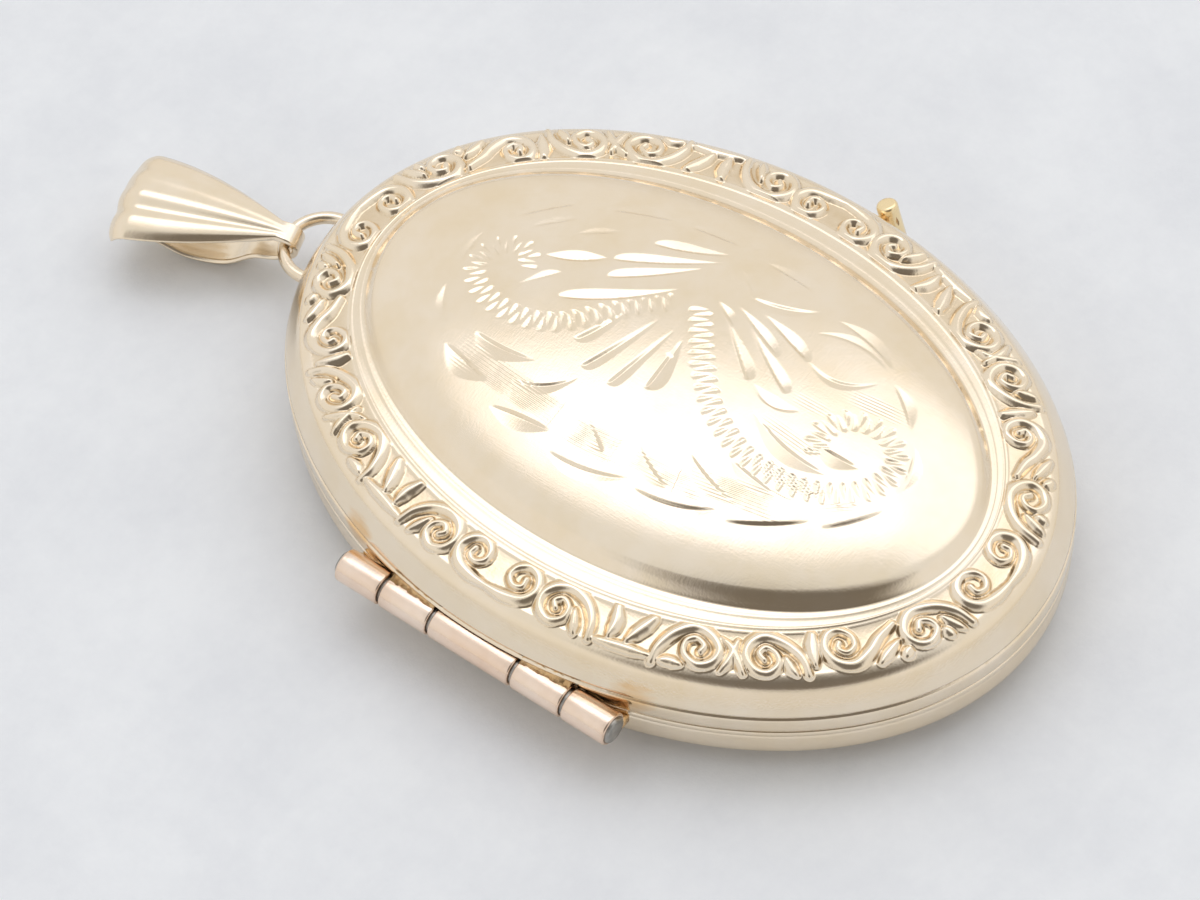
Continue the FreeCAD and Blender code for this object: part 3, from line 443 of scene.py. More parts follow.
def front_inside():
    """Rings of the front cover's inside, from the crown back to the seam."""
    rings = []
    for r in (0.03, 0.15, 0.3, 0.5, 0.7, 0.85, 0.95):
        rings.append((9.05 * r, 14.65 * r, float(crown_level(r)) - SHEET, 240))
    rings += [(9.05, 14.65, 6.4, 240), (9.35, 14.95, 5.85, 240), (9.5, 15.1, 5.76, 240)]
    wall = ((1.05, 4.86), (0.75, 4.8), (0.52, 4.62), (0.42, 4.4), (0.4, 3.8), (0.4, 3.3),
            (0.4, 3.12), (0.34, SEAM + SEAM_GAP))
    return rings + [(*oval, COARSE) for oval in inset_ovals(wall)]


def press_trough(points, inside):
    """Press the wall in round the hinge tube, so that the tube lies in a trough."""
    out_x, out_z = points[:, 0] - HINGE_X, points[:, 2] - HINGE_Z
    away = np.hypot(out_x, out_z)
    radius = TROUGH_RADIUS + (TROUGH_SHEET if inside else 0.0)
    near = (away < radius) & (np.abs(points[:, 1]) < HINGE_HALF)
    grow = radius / np.maximum(away[near], 1e-6)
    points[near, 0] = HINGE_X + out_x[near] * grow
    points[near, 2] = HINGE_Z + out_z[near] * grow
    return points


def ring_normals(grid_rings, counts):
    """Outward normals of stacked rings, from the rings beside each one."""
    normals = []
    for k, ring in enumerate(grid_rings):
        around = np.roll(ring, -1, 0) - np.roll(ring, 1, 0)
        low, high = grid_rings[max(k - 1, 0)], grid_rings[min(k + 1, len(counts) - 1)]
        pick = [other[(np.arange(len(ring)) * len(other)) // len(ring)] for other in (low, high)]
        normal = np.cross(around, pick[1] - pick[0])
        normals.append(normal / np.maximum(np.linalg.norm(normal, axis=1), 1e-9)[:, None])
    return normals


def stamp_border(stations, rings, normals, lines):
    """Raise the beads of the scroll border, and note how bare the ground is between them, where painted
    shade goes.
    """
    rows = [k for k, station in enumerate(stations) if station[4] == "scroll"]
    count = stations[rows[0]][3]
    middle = oval_points(*blend_oval(CREASE, BAND_END, 0.5), count)
    walked = np.concatenate(([0], np.cumsum(np.linalg.norm(np.diff(middle, axis=0), axis=1))))
    quarter = 0.25 * (walked[-1] + np.linalg.norm(middle[0] - middle[-1]))
    drift = STAMP_DRIFT * (middle[:, 0] / CREASE[0]) ** 2
    fraction = (np.arange(len(rows)) + 1) / len(rows)
    relief = border_relief(walked + drift, fraction * BAND_WIDTH, quarter)
    sunk = np.clip((fraction - GROUND_FROM) / (1 - GROUND_FROM), 0, 1)
    ground = -GROUND * np.clip(np.sin(math.pi * sunk), 0, 1) ** 0.5
    for k, row in enumerate(rows):
        lift = relief[k] * RELIEF + ground[k] * (1 - relief[k])
        rings[row] = rings[row] + normals[row] * lift[:, None]
        # Bare ground between the beads: where painted shade darkens the colour.
        lines[row][:, 2] = np.clip(1 - relief[k] / 0.6, 0, 1) * -ground[k] / GROUND


def engrave_crown(stations, rings, normals, lines):
    """Sink the graver cuts into the dome, and note where its fine lines run."""
    for k, station in enumerate(stations):
        if station[4] == "dome":
            x, y = rings[k][:, 0], rings[k][:, 1]
            rings[k] = rings[k] - normals[k] * engraving_depth(x, y)[:, None]
            lines[k][:, 0], lines[k][:, 1] = lined_patches(x, y)


def shell_faces(outer_counts, inner_counts, facing_down):
    """Faces of a cover: outside rings in to the middle, inside rings back to the seam."""
    counts = outer_counts + inner_counts
    starts = [sum(counts[:k]) for k in range(len(counts))]
    faces = []
    for k, (start, count) in enumerate(zip(starts, counts)):
        follow = (k + 1) % len(counts)
        if follow == len(outer_counts):
            faces.append(tuple(range(start, start + count)))
            faces.append(tuple(range(starts[follow], starts[follow] + counts[follow]))[::-1])
        else:
            faces += bridge(start, count, starts[follow], counts[follow])
    return [face[::-1] for face in faces] if facing_down else faces


def front_cover(material):
    """Engraved front: rolled seam edge, wall, scroll border, plain band and domed crown."""
    stations = front_stations()
    rings = [oval_points(a, b, level, count) for a, b, level, count, _ in stations]
    counts = [len(ring) for ring in rings]
    normals = ring_normals(rings, counts)
    # For the material: across a lined patch, how fully it is lined, bare border ground (which gets
    # painted shade).
    lines = [np.zeros((count, 3)) for count in counts]
    stamp_border(stations, rings, normals, lines)
    engrave_crown(stations, rings, normals, lines)

    inner = [oval_points(a, b, level, count) for a, b, level, count in front_inside()]
    outside = press_trough(np.concatenate(rings), False)
    inside = press_trough(np.concatenate(inner), True)
    faces = shell_faces(counts, [len(ring) for ring in inner], False)
    piece = add_piece("front_cover_skin", np.concatenate((outside, inside)), faces, "front_case",
                      ["front_cover"], material)
    lined = piece.data.attributes.new("cut_marks_and_ground_shade", "FLOAT_VECTOR", "POINT")
    values = np.concatenate(lines + [np.zeros((len(inside), 3))])
    lined.data.foreach_set("vector", values.astype(np.float32).ravel())


def back_rings():
    """Rings of the back cover's outside and inside: (half x, half y, level)."""
    wall = [(0.07, SEAM - 0.005), (0.02, 2.95), (0.0, 2.88), (0.0, 2.72), (0.03, 2.66),
            (0.1, 2.62), (0.11, 2.58), (0.07, 2.53), (0.06, 2.4), (0.05, 2.1), (0.04, 1.8)]
    turn = 0.8
    wall += [(0.04 + turn * (1 - math.cos(a)), 1.7 - turn * math.sin(a))
             for a in np.linspace(0, math.pi / 2, 10)[1:]]
    outer = inset_ovals(wall)
    start, foot = (13.34, 18.16, 0.9), (9.8, 15.4, 0.5)
    for f in np.linspace(0, 1, 24)[1:]:
        groove = 0.05 * max(0.0, math.sin(f * 4 * TAU)) ** 4 if 0.6 < f < 0.95 else 0.0
        half_x, half_y, level = blend_oval(start, foot, f)
        outer.append((half_x, half_y, level + groove))
    outer += [(9.78, 15.38, 0.42), (9.74, 15.34, 0.3), (9.66, 15.26, 0.17), (9.54, 15.14, 0.07),
              (9.38, 14.98, 0.015), (9.2, 14.8, 0.0), (6.0, 9.6, 0.0), (3.0, 4.8, 0.0),
              (0.3, 0.5, 0.0)]
    inner = [(0.3, 0.5, 0.4), (6.0, 9.6, 0.4), (9.3, 14.9, 0.4), (9.38, 14.98, 0.85),
             (9.5, 15.1, 0.9)]
    inner += inset_ovals(((0.9, 1.28), (0.6, 1.4), (0.43, 1.62), (0.4, 2.1), (0.4, 2.88),
                          (0.34, SEAM - 0.005)))
    return outer, inner


def back_cover(material):
    """Plain stamped back: rolled seam edge, rounded wall, flat raised panel."""
    count = 720
    outer, inner = back_rings()
    outside = press_trough(np.concatenate([oval_points(*ring, count) for ring in outer]), False)
    inside = press_trough(np.concatenate([oval_points(*ring, count) for ring in inner]), True)
    faces = shell_faces([count] * len(outer), [count] * len(inner), True)
    add_piece("back_cover_skin", np.concatenate((outside, inside)), faces, "back_case",
              ["back_cover"], material)


# --- rims and photo frames ---
def photo_frames(material):
    """L-section rings with rounded edges that hold the photos down."""
    count = 360
    for side, ledge, sign in (("back", 2.0, 1), ("front", 4.6, -1)):
        section = [(1.65, 0.0), (1.95, 0.0), (1.95, 0.45), (3.2, 0.45), (3.2, 0.62), (2.95, 0.75),
                   (2.1, 0.75), (1.65, 0.7)]
        profile = rounded(section, 0.07)
        if sign > 0:
            profile = profile[::-1]
        profile = [(inset, ledge + sign * rise) for inset, rise in profile]
        rings = [oval_points(*oval, count) for oval in inset_ovals(profile)]
        add_piece(f"{side}_photo_bezel", np.concatenate(rings),
                  ring_faces([count] * len(rings), True), f"{side}_case", [f"{side}_photo_frame"],
                  material)


# --- hinge ---
KNUCKLES = {"back_upper": (4.98, 7.31), "front_upper": (2.27, 4.90), "back_middle": (-2.19, 2.19),
            "front_lower": (-4.90, -2.27), "back_lower": (-7.31, -4.98)}


WEB_RADIUS, WEB_HEIGHT = 0.74, 0.96
PIN_RADIUS, PIN_REACH = 0.62, 7.41


def wall_x(y, level):
    """Where the case wall stands on the hinge side."""
    inset = 0.09 if level > 4.0 else 0.04
    return -(HALF_WIDTH - inset) * math.sqrt(1 - (y / (HALF_LENGTH - inset)) ** 2)


def solder_web(start, end, front):
    """The solder that fills the corner between a knuckle and its cover; its dark colour also serves as
    painted shade beside the tube.
    """
    sign = 1 if front else -1
    rings = []
    steps = 14
    for k in range(steps + 1):
        y = start + (end - start) * k / steps
        ragged = 0.05 * math.sin(7.3 * y) + 0.03 * math.sin(17.0 * y + 1.0)
        section = []
        for angle in np.radians(np.linspace(12, 108, 9)):
            section.append((HINGE_X + WEB_RADIUS * math.cos(angle), WEB_RADIUS * math.sin(angle)))
        top = WEB_HEIGHT + ragged
        wall = max(wall_x(y, HINGE_Z + sign * top), HINGE_X + 0.12)
        section.append((wall + 0.02, 0.5 * (top + 0.76)))
        section.append((wall + 0.05, top))
        section.append((wall + 0.3, top - 0.12))
        section.append((HINGE_X + 0.95, 0.18))
        ring = [(x, y, HINGE_Z + sign * z) for x, z in section]
        rings.append(ring if front else ring[::-1])
    count = len(rings[0])
    points = np.array([point for ring in rings for point in ring])
    return points, ring_faces([count] * len(rings), False)


def knuckle_profile(start, end, bore):
    """Section of one tube of the hinge: (radius, place along the hinge)."""
    outer, edge = KNUCKLE_RADIUS, 0.1
    profile = [(bore, start + 0.02), (outer - edge, start)]
    profile += [(outer - edge + edge * math.sin(a), start + edge - edge * math.cos(a))
                for a in np.linspace(0.3, math.pi / 2, 5)]
    profile += [(outer, start + (end - start) * f) for f in (0.2, 0.4, 0.6, 0.8)]
    profile += [(outer - edge + edge * math.cos(a), end - edge + edge * math.sin(a))
                for a in np.linspace(0, math.pi / 2 - 0.3, 5)]
    return profile + [(outer - edge, end), (bore, end - 0.02)]


def round_the_hinge(profile, sides, closed):
    """Points and faces of a section turned round the hinge's own line."""
    points = turned(profile, (HINGE_X, 0, HINGE_Z), (0, 1, 0), sides)
    return points, [face[::-1] for face in ring_faces([sides] * len(profile), closed)]


def hinge(rose, solder, steel):
    """Rounded knuckles with their solder, and the pin that shows at one end."""
    gap = 0.03
    for name, (start, end) in KNUCKLES.items():
        front = name.startswith("front")
        start, end = start + gap, end - gap
        profile = knuckle_profile(start, end, 0.645 if front else 0.622)
        points, faces = round_the_hinge(profile, 96, True)
        body = "front_case" if front else "back_case"
        add_piece(f"knuckle_{name}", points, faces, body, [f"hinge_knuckle_{name}"], rose)
        points, faces = solder_web(start + 0.05, end - 0.05, front)
        add_piece(f"solder_{name}", points, faces, body, [], solder)

    reach = PIN_REACH
    profile = [(0.02, -reach - 0.03), (0.3, -reach - 0.025), (0.5, -reach), (0.59, -reach + 0.03),
               (PIN_RADIUS, -reach + 0.1), (PIN_RADIUS, -2.0), (PIN_RADIUS, 2.0),
               (PIN_RADIUS, reach - 0.1), (0.56, reach), (0.4, reach + 0.05), (0.02, reach + 0.07)]
    points, faces = round_the_hinge(profile, 64, False)
    add_piece("hinge_pin_wire", points, faces, "back_case", ["hinge_pin"], steel)


# --- thumb pin and bow ---
def thumb_pin(material, solder):
    """Round rod with a softened end, leaning a little, and the solder at its foot."""
    foot = Vector((14.74, -1.85, 2.25))
    lean = math.radians(16.0)
    axis = Vector((0, math.sin(lean), math.cos(lean)))
    tall, radius = 2.3, 0.5
    profile = [(0.02, 0.0), (0.38, 0.0), (0.47, 0.05), (radius, 0.13), (radius, 0.8), (radius, 1.6),
               (radius, tall - 0.16), (0.47, tall - 0.07), (0.41, tall - 0.015), (0.3, tall + 0.01),
               (0.02, tall + 0.02)]
    points = turned(profile, foot, axis, 64)
    faces = ring_faces([64] * len(profile), False)
    add_piece("thumb_pin_rod", points, faces, "front_case", ["thumb_pin"], material)
    middle = foot + axis * 1.45
    path = [(middle.x - 0.75 + 0.65 * f, middle.y, middle.z) for f in np.linspace(0, 1, 12)]
    radii = [0.34 + 0.22 * (2 * f - 1) ** 2 for f in np.linspace(0, 1, 12)]
    points, faces = tube(path, radii, 32)
    add_piece("thumb_pin_solder", points, faces, "front_case", [], solder)


def case_bow(material):
    """Wire loop whose ends flare into their solder on the back cover's wall."""
    centre, radius, wire = Vector((-0.7, 19.65, 2.1)), 1.85, 0.3
    start, end = math.radians(-27), math.radians(207)
    path, radii = [], []
    steps = 96
    for k in range(steps + 1):
        f = k / steps
        angle = start + (end - start) * f
        path.append(centre + Vector((math.cos(angle), math.sin(angle), 0)) * radius)
        edge = min(f, 1 - f) * (end - start) * radius
        radii.append(wire + 0.2 * math.exp(-((edge / 0.3) ** 2)))
    points, faces = tube(path, radii, 40)
    add_piece("bow_wire", points, faces, "back_case", ["case_bow"], material)


# --- bail ---
EYE = (0.0, 0.0, 0.75)
FOLD = (6.9, -0.1, 1.2)
LEAF_ARCH, BELLY_ARCH = 40.0, 7.4
BAIL_SHEET, BAIL_EDGE = 0.3, 0.13
# Half widths of the strip: at the eye, past the fold, and what leaf and strap add.
EYE_HALF, FOLD_HALF = 0.58, 0.93
LEAF_SPREAD, STRAP_SPREAD = 2.02, 0.35
FLUTE_RISE, FLUTE_SINK = 0.62, 0.16
# Valleys between the ribs of the leaf: place, depth, width.
FLUTE_VALLEYS = ((-0.36, 0.2, 0.18), (0.16, 0.05, 0.16), (0.58, 0.04, 0.14))


def tangent_centre(radius, below):
    """Centre of the arc that wraps the eye and the fold."""
    to_eye, to_fold = radius - EYE[2], radius - FOLD[2]
    gap_y, gap_z = FOLD[0] - EYE[0], FOLD[1] - EYE[1]
    gap = math.hypot(gap_y, gap_z)
    along = (to_eye ** 2 - to_fold ** 2 + gap ** 2) / (2 * gap)
    off = math.sqrt(to_eye ** 2 - along ** 2) * (-1 if below else 1)
    return (EYE[0] + (along * gap_y - off * gap_z) / gap, EYE[1] + (along * gap_z + off * gap_y) / gap)


def bail_side_view():
    """Closed side view: (y, z, outward y, outward z, part) round the bail."""
    top, belly = tangent_centre(LEAF_ARCH, True), tangent_centre(BELLY_ARCH, False)
    arcs = [(EYE[:2], EYE[2], belly, top, "eye", 26), (top, LEAF_ARCH, EYE, FOLD, "leaf", 70),
            (FOLD[:2], FOLD[2], top, belly, "fold", 40), (belly, BELLY_ARCH, FOLD, EYE, "strap", 60)]
    rows = []
    for centre, radius, first, last, part, steps in arcs:
        way = 1 if part in ("eye", "fold") else -1
        begin, finish = (math.atan2(way * (centre[1] - near[1]), way * (centre[0] - near[0]))
                         for near in (first, last))
        while finish > begin:
            finish -= TAU
        for k in range(steps):
            angle = begin + (finish - begin) * k / steps
            rows.append((centre[0] + radius * math.cos(angle), centre[1] + radius * math.sin(angle),
                         math.cos(angle), math.sin(angle), part, k / steps))
    return rows


def bail_half_width(y, part, f):
    """Half width of the strip along its path."""
    reach = max(0.0, min(1.0, (y - 0.3) / (FOLD[0] + FOLD[2] - 0.3)))
    fan = EYE_HALF + LEAF_SPREAD * math.sin(0.5 * math.pi * reach) ** 0.95
    strap = EYE_HALF + STRAP_SPREAD * math.sin(0.5 * math.pi * min(1.0, reach * 1.5))
    if part == "eye":
        return EYE_HALF
    if part == "leaf":
        return fan
    if part == "strap":
        return strap
    ease = 0.5 - 0.5 * math.cos(math.pi * min(1.0, max(0.0, (f - 0.3) / 0.7)))
    return fan + (FOLD_HALF - fan) * ease


def flutes(across):
    """Broad rounded ribs of the leaf: one deep valley and two faint ones."""
    ribs = FLUTE_RISE * (1 - across ** 2)
    for place, depth, width in FLUTE_VALLEYS:
        ribs = ribs - depth * np.exp(-((across - place) / width) ** 2)
    return ribs


def strap_lift(y):
    """How much the back strap is pressed up towards the leaf beside each end."""
    return 0.5 * math.exp(-((y - 1.5) / 1.0) ** 2) + 0.3 * math.exp(-((y - 6.4) / 0.9) ** 2)


def bail_sheet(rows, across, inner):
    """Points of the strip's outer or inner face, row by row round the bail."""
    joint = JOINTS["bail_swing"]
    origin = Vector(joint["pos_m"]) / MM
    lateral = Vector(joint["axis"]).normalized()
    up = Vector((0, 0, 1))
    ahead = up.cross(lateral)
    edge = BAIL_EDGE * np.clip((np.abs(across) - 0.8) / 0.2, 0, 1) ** 2
    sheet = []
    for y, z, out_y, out_z, part, f in rows:
        half = bail_half_width(y, part, f)
        strength = {"eye": 0.0, "leaf": f ** 0.6, "fold": 1.0 - 0.95 * f,
                    "strap": 0.05 * (1 - f)}[part]
        lift = strength * (flutes(across) - FLUTE_SINK)
        rise = lift - BAIL_SHEET + edge if inner else lift - edge
        raised = z + (strap_lift(y) if part == "strap" else 0.0)
        for q, r in zip(across, rise):
            point = origin + lateral * float(q) * half + ahead * (y + out_y * float(r)) \
                + up * (raised + out_z * float(r))
            sheet.append(point)
    return sheet


def strip_faces(count, wide):
    """Faces of a closed strip: outer and inner faces, joined along both edges."""
    base = count * wide
    faces = []
    for k in range(count):
        n = (k + 1) % count
        for q in range(wide - 1):
            a, b, c, d = k * wide + q, k * wide + q + 1, n * wide + q + 1, n * wide + q
            faces.append((a, b, c, d))
            faces.append((base + d, base + c, base + b, base + a))
        for q, flip in ((0, False), (wide - 1, True)):
            face = (k * wide + q, n * wide + q, base + n * wide + q, base + k * wide + q)
            faces.append(face[::-1] if flip else face)
    return faces


def bail(material):
    """Folded strip: a small eye, a fluted leaf in front and a narrow strap behind."""
    rows = bail_side_view()
    across = np.linspace(-1, 1, 81)
    points = bail_sheet(rows, across, False) + bail_sheet(rows, across, True)
    add_piece("bail_strip", points, strip_faces(len(rows), len(across)), "bail", ["bail"],
              material)


# --- materials ---
class Nodes:
    """A short way to write the node tree of a material or of the world."""

    def __init__(self, owner, shader="BSDF_PRINCIPLED", place="Object"):
        owner.use_nodes = True
        self.owner = owner
        self.tree = owner.node_tree
        self.shader = next(n for n in self.tree.nodes if n.type == shader)
        self.place = self.add("ShaderNodeTexCoord").outputs[place]

    def add(self, kind, **settings):
        node = self.tree.nodes.new(kind)
        for key, value in settings.items():
            setattr(node, key, value)
        return node

    def link(self, source, target):
        self.tree.links.new(source, target)

    def noise(self, scale, detail=4.0, rough=0.5, stretch=None, turn=0.0):
        """Noise in millimetres, stretched along an axis if asked."""
        mapping = self.add("ShaderNodeMapping")
        self.link(self.place, mapping.inputs["Vector"])
        stretch = stretch or (1.0, 1.0, 1.0)
        mapping.inputs["Scale"].default_value = [value / MM for value in stretch]
        mapping.inputs["Rotation"].default_value = (0.0, 0.0, turn)
        texture = self.add("ShaderNodeTexNoise")
        texture.inputs["Scale"].default_value = scale
        texture.inputs["Detail"].default_value = detail
        texture.inputs["Roughness"].default_value = rough
        self.link(mapping.outputs["Vector"], texture.inputs["Vector"])
        return texture.outputs["Fac"]

    def ramp(self, source, stops, easing="LINEAR"):
        """Colours at places along a source."""
        node = self.add("ShaderNodeValToRGB")
        node.color_ramp.interpolation = easing
        elements = node.color_ramp.elements
        while len(elements) < len(stops):
            elements.new(0.5)
        for element, (place, colour) in zip(elements, stops):
            element.position = place
            element.color = (*colour, 1.0)
        self.link(source, node.inputs["Fac"])
        return node.outputs["Color"]

    def grey(self, source, stops):
        return self.ramp(source, [(place, (value, value, value)) for place, value in stops])

    def maths(self, operation, *sources):
        node = self.add("ShaderNodeMath", operation=operation)
        for socket, source in zip(node.inputs, sources):
            if isinstance(source, (int, float)):
                socket.default_value = source
            else:
                self.link(source, socket)
        return node.outputs[0]

    def mix(self, factor, first, second, blend="MIX"):
        node = self.add("ShaderNodeMix", data_type="RGBA", blend_type=blend)
        for name, source in (("Factor_Float", factor), ("A_Color", first), ("B_Color", second)):
            socket = next(s for s in node.inputs if s.identifier == name)
            if isinstance(source, (int, float)):
                socket.default_value = source
            elif isinstance(source, tuple):
                socket.default_value = (*source, 1.0)
            else:
                self.link(source, socket)
        return next(s for s in node.outputs if s.identifier == "Result_Color")

    def bump(self, height, distance, base=None):
        """Surface normals from a height, `distance` millimetres deep."""
        node = self.add("ShaderNodeBump")
        node.inputs["Strength"].default_value = 1.0
        node.inputs["Distance"].default_value = distance * MM
        self.link(height, node.inputs["Height"])
        if base is not None:
            self.link(base, node.inputs["Normal"])
        return node.outputs["Normal"]

    def surface(self, colour, rough, normal=None, **values):
        """Wire up the shader; `values` are its plain inputs."""
        self.link(colour, self.shader.inputs["Base Color"])
        self.link(rough, self.shader.inputs["Roughness"])
        if normal is not None:
            self.link(normal, self.shader.inputs["Normal"])
        for name, value in values.items():
            self.shader.inputs[name].default_value = value
        return self.owner


def solder_stain(n):
    """Where heat and solder have coloured the wall beside the hinge's ends."""
    stain = None
    for centre, radius in (((-13.6, -7.6, 4.1), 1.7), ((-13.5, 7.6, 4.1), 1.5)):
        away = n.add("ShaderNodeVectorMath", operation="DISTANCE")
        n.link(n.place, away.inputs[0])
        away.inputs[1].default_value = Vector(centre) * MM
        near = n.maths("SUBTRACT", 1.0, n.maths("DIVIDE", away.outputs["Value"], radius * MM))
        stain = near if stain is None else n.maths("MAXIMUM", stain, near)
    ragged = n.noise(1.1, 5.0, 0.6, stretch=(1.0, 0.5, 2.5))
    return n.grey(n.maths("ADD", stain, n.maths("MULTIPLY", ragged, 0.8)), [(0.60, 0.0), (0.95, 1.0)])


def cover_marks(n, colour, normal):
    """The front cover's fine lines, matt border ground darkened by painted shade, and stain beside the
    hinge.
    """
    split = n.add("ShaderNodeSeparateXYZ")
    attribute = n.add("ShaderNodeAttribute", attribute_name="cut_marks_and_ground_shade")
    n.link(attribute.outputs["Vector"], split.inputs["Vector"])
    turns = n.maths("MULTIPLY", split.outputs["X"], math.pi / HATCH_PITCH)
    wave = n.maths("ABSOLUTE", n.maths("SINE", turns))
    line = n.maths("MULTIPLY", n.maths("POWER", wave, 2.0), split.outputs["Y"])
    line = n.maths("MULTIPLY", line, n.grey(n.noise(0.9, 4.0), [(0.35, 0.35), (0.65, 1.0)]))
    normal = n.bump(n.maths("MULTIPLY", line, -1.0), 0.014, base=normal)
    # Painted shade: the bare border ground is turned a patchy dark brown.
    patchy_ground_shade = n.grey(n.noise(1.3, 5.0), [(0.3, 0.45), (0.7, 0.9)])
    colour = n.mix(n.maths("MULTIPLY", split.outputs["Z"], patchy_ground_shade), colour, (0.74, 0.58, 0.38))
    normal = n.bump(n.maths("MULTIPLY", n.noise(3.0, 4.0), split.outputs["Z"]), 0.012, base=normal)
    colour = n.mix(n.maths("MULTIPLY", solder_stain(n), 0.75), colour, (0.80, 0.50, 0.22))
    return colour, normal


def polished_metal(name, pale, deep, rough, scratch=0.0022, cover=False):
    """Polished and lightly worn gold: mottled tone, hairline scratches, hollows darkened by painted
    shade and patina.
    """
    n = Nodes(bpy.data.materials.new(name))
    colour = n.ramp(n.noise(0.35, 5.0, 0.6), [(0.35, pale), (0.7, deep)])
    point = n.add("ShaderNodeNewGeometry").outputs["Pointiness"]
    # Painted shade and patina: the colour goes dark where the surface is hollow (low pointiness).
    hollow_shade_and_patina = tuple(value * factor for value, factor in zip(deep, (0.6, 0.52, 0.42)))
    colour = n.mix(n.grey(point, [(0.4, 0.0), (0.49, 1.0)]), hollow_shade_and_patina, colour)
    wear = n.grey(n.noise(1.6, 6.0, 0.65), [(0.3, rough * 0.75), (0.75, rough * 1.35)])
    first = n.noise(2.2, 3.0, 0.6, stretch=(0.6, 9.0, 4.0), turn=0.5)
    second = n.noise(2.0, 3.0, 0.6, stretch=(8.0, 0.5, 4.0), turn=1.1)
    third = n.noise(9.0, 2.0, 0.5)
    normal = n.bump(n.maths("ADD", n.maths("ADD", first, second), third), scratch)
    if cover:
        colour, normal = cover_marks(n, colour, normal)
    return n.surface(colour, wear, normal, Metallic=1.0)


def steel_wire(name):
    """Dull grey drawn wire."""
    n = Nodes(bpy.data.materials.new(name))
    tone = n.noise(3.0, 5.0, 0.6)
    colour = n.ramp(tone, [(0.3, (0.3, 0.29, 0.27)), (0.7, (0.52, 0.5, 0.46))])
    rough = n.grey(tone, [(0.3, 0.3), (0.7, 0.48)])
    return n.surface(colour, rough, n.bump(n.noise(12.0, 3.0), 0.01), Metallic=1.0)


def photo_paper(name):
    """Blank cream card with a faint fibre."""
    n = Nodes(bpy.data.materials.new(name))
    fibre = n.noise(6.0, 6.0, 0.7)
    colour = n.ramp(fibre, [(0.3, (0.7, 0.63, 0.5)), (0.75, (0.82, 0.77, 0.66))])
    return n.surface(colour, n.grey(fibre, [(0.3, 0.6), (0.7, 0.75)]), n.bump(fibre, 0.01))


def clear_window(name):
    """Thin clear sheet, a little hazed."""
    n = Nodes(bpy.data.materials.new(name))
    haze = n.noise(0.8, 5.0, 0.7)
    colour = n.ramp(haze, [(0.3, (0.96, 0.97, 0.95)), (0.7, (0.9, 0.91, 0.86))])
    return n.surface(colour, n.grey(haze, [(0.3, 0.03), (0.8, 0.12)]), Alpha=0.14, IOR=1.47)


def pale_paper(name):
    """Matt pale board, faintly clouded."""
    n = Nodes(bpy.data.materials.new(name))
    cloud = n.maths("ADD", n.noise(0.12, 6.0, 0.6), n.maths("MULTIPLY", n.noise(0.9, 6.0, 0.7), 0.35))
    colour = n.ramp(cloud, [(0.5, (0.85, 0.87, 0.9)), (0.85, (0.93, 0.95, 0.97))])
    rough = n.grey(n.noise(0.5, 4.0), [(0.3, 0.6), (0.7, 0.75)])
    return n.surface(colour, rough, n.bump(n.noise(2.5, 6.0, 0.7), 0.02))


# --- stage ---
def make_floor(material):
    """Flat board a hair below the locket."""
    half = 0.6
    mesh = bpy.data.meshes.new("floor")
    mesh.from_pydata([(-half, -half, 0), (half, -half, 0), (half, half, 0), (-half, half, 0)], [],
                     [(0, 1, 2, 3)])
    mesh.materials.append(material)
    floor = bpy.data.objects.new("floor", mesh)
    bpy.context.scene.collection.objects.link(floor)
    floor.location.z = -0.00002


def make_camera():
    """Long lens above the hinge side, a little rolled."""
    azimuth, elevation, roll = math.radians(-49.3), math.radians(54.4), math.radians(-4.6)
    distance, target = 180.3, Vector((-1.34, 3.27, 0.0))
    back = Vector((math.sin(azimuth) * math.cos(elevation), -math.cos(azimuth) * math.cos(elevation),
                   math.sin(elevation)))
    right = Vector((math.cos(azimuth), math.sin(azimuth), 0))
    up = back.cross(right)
    right, up = (right * math.cos(roll) + up * math.sin(roll),
                 up * math.cos(roll) - right * math.sin(roll))
    data = bpy.data.cameras.new("camera")
    data.lens, data.sensor_width = 120.0, 36.0
    data.clip_start, data.clip_end = 0.01, 10.0
    camera = bpy.data.objects.new("camera", data)
    bpy.context.scene.collection.objects.link(camera)
    turn = Matrix((right, up, back)).transposed()
    camera.matrix_world = Matrix.Translation((target + back * distance) * MM) @ turn.to_4x4()
    bpy.context.scene.camera = camera


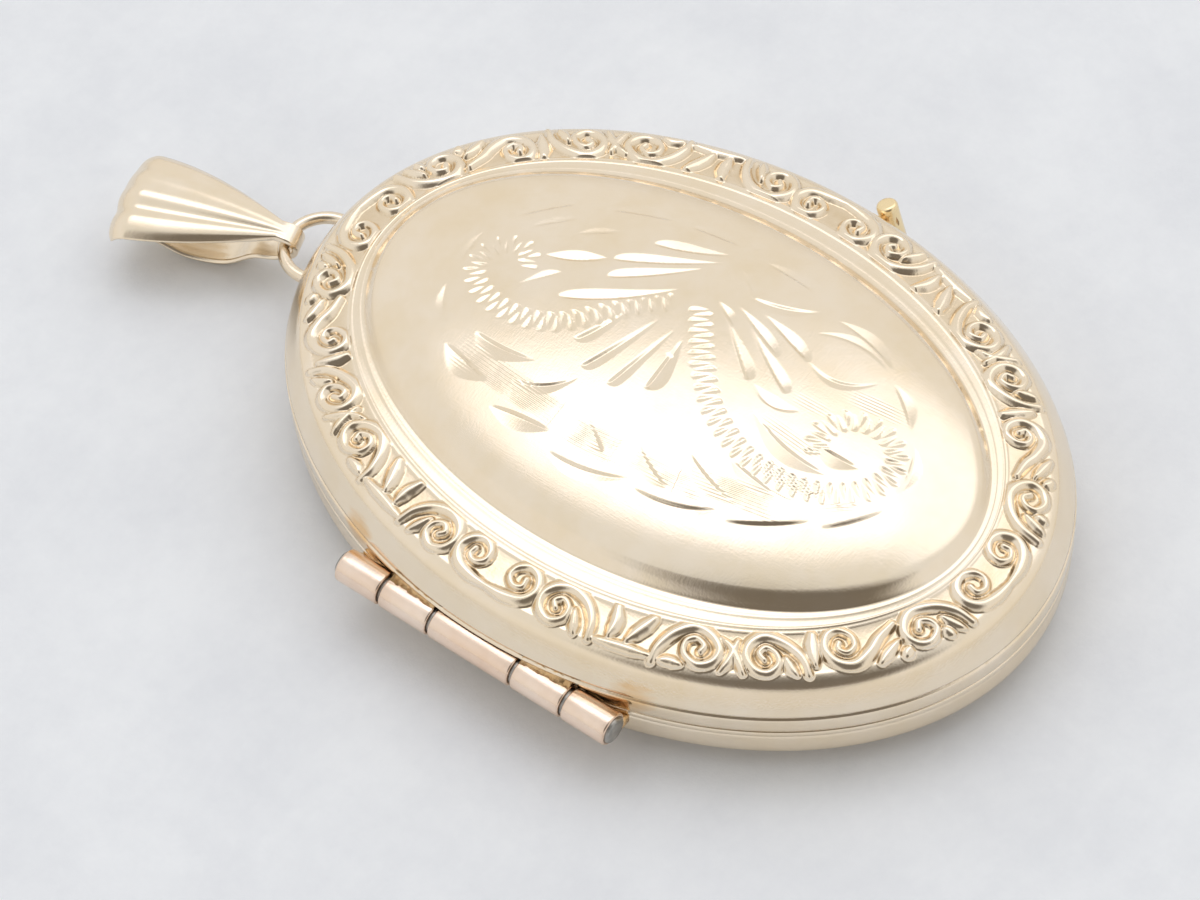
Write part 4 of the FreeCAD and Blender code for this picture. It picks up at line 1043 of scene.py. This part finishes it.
def make_light():
    """Pale tent, darker near the viewer, with three bright patches beyond the locket."""
    bpy.context.scene.world = bpy.data.worlds.new("studio")
    n = Nodes(bpy.context.scene.world, "BACKGROUND", "Generated")

    def glow(direction, stops):
        """Light that depends on the angle to one direction."""
        toward = n.add("ShaderNodeVectorMath", operation="DOT_PRODUCT")
        toward.inputs[1].default_value = Vector(direction).normalized()
        n.link(n.place, toward.inputs[0])
        return n.ramp(toward.outputs["Value"], stops, "EASE")

    def join(operation, first, second):
        node = n.add("ShaderNodeVectorMath", operation=operation)
        n.link(first, node.inputs[0])
        n.link(second, node.inputs[1])
        return node.outputs["Vector"]

    dark, white = (0.0, 0.0, 0.0), (1.0, 1.0, 1.0)
    tent = glow((0, 0, 1), [(0.0, (0.69, 0.67, 0.64)), (0.25, (0.79, 0.78, 0.76)),
                            (0.6, (0.8, 0.8, 0.8)), (1.0, (0.76, 0.77, 0.78))])
    viewer = glow((-0.53, -0.46, 0.71), [(0.76, white), (0.94, (0.22, 0.2, 0.18))])
    panel = glow((0.27, 0.22, 0.94), [(0.935, dark), (0.988, (0.66, 0.65, 0.7))])
    left = glow((0.1, 0.38, 0.92), [(0.95, dark), (0.992, (0.5, 0.49, 0.53))])
    right = glow((0.59, -0.1, 0.8), [(0.9, dark), (0.985, (0.5, 0.5, 0.53))])
    light = join("ADD", join("MULTIPLY", tent, viewer), join("ADD", panel, join("ADD", left, right)))
    n.link(light, n.shader.inputs["Color"])
    n.shader.inputs["Strength"].default_value = 1.0


def main():
    """Dress the frame's bodies, then lay the stage."""
    yellow = {"pale": (0.91, 0.79, 0.63), "deep": (0.875, 0.735, 0.54)}
    cover_gold = polished_metal("cover_gold", rough=0.13, cover=True, **yellow)
    plain_gold = polished_metal("plain_gold", rough=0.17, **yellow)
    rose_gold = polished_metal("rose_gold", pale=(0.93, 0.77, 0.64), deep=(0.86, 0.65, 0.50),
                               rough=0.2, scratch=0.004)
    # Solder's own colour, made darker as painted shade along the hinge tube.
    solder_gold_and_shade = polished_metal("solder_gold_and_shade", pale=(0.82, 0.57, 0.31), deep=(0.60, 0.37, 0.17),
                                 rough=0.26, scratch=0.008)
    pin_gold = polished_metal("pin_gold", pale=(0.95, 0.77, 0.47), deep=(0.88, 0.65, 0.34), rough=0.18)
    steel = steel_wire("steel_wire")
    paper = photo_paper("photo_paper")
    clear = clear_window("clear_window")

    front_cover(cover_gold)
    back_cover(plain_gold)
    photo_frames(plain_gold)
    hinge(rose_gold, solder_gold_and_shade, steel)
    thumb_pin(pin_gold, solder_gold_and_shade)
    case_bow(plain_gold)
    bail(plain_gold)
    kept = {"back_rim": plain_gold, "front_rim": plain_gold, "back_photo_card": paper,
            "front_photo_card": paper, "back_window": clear, "front_window": clear}
    for name, material in kept.items():
        for material_slot in frame["nodes"][name].material_slots:
            material_slot.material = material

    make_floor(pale_paper("pale_paper"))
    make_light()
    make_camera()
    bpy.context.scene.view_settings.view_transform = "Standard"
    bpy.context.scene.view_settings.exposure = 0.15


main()
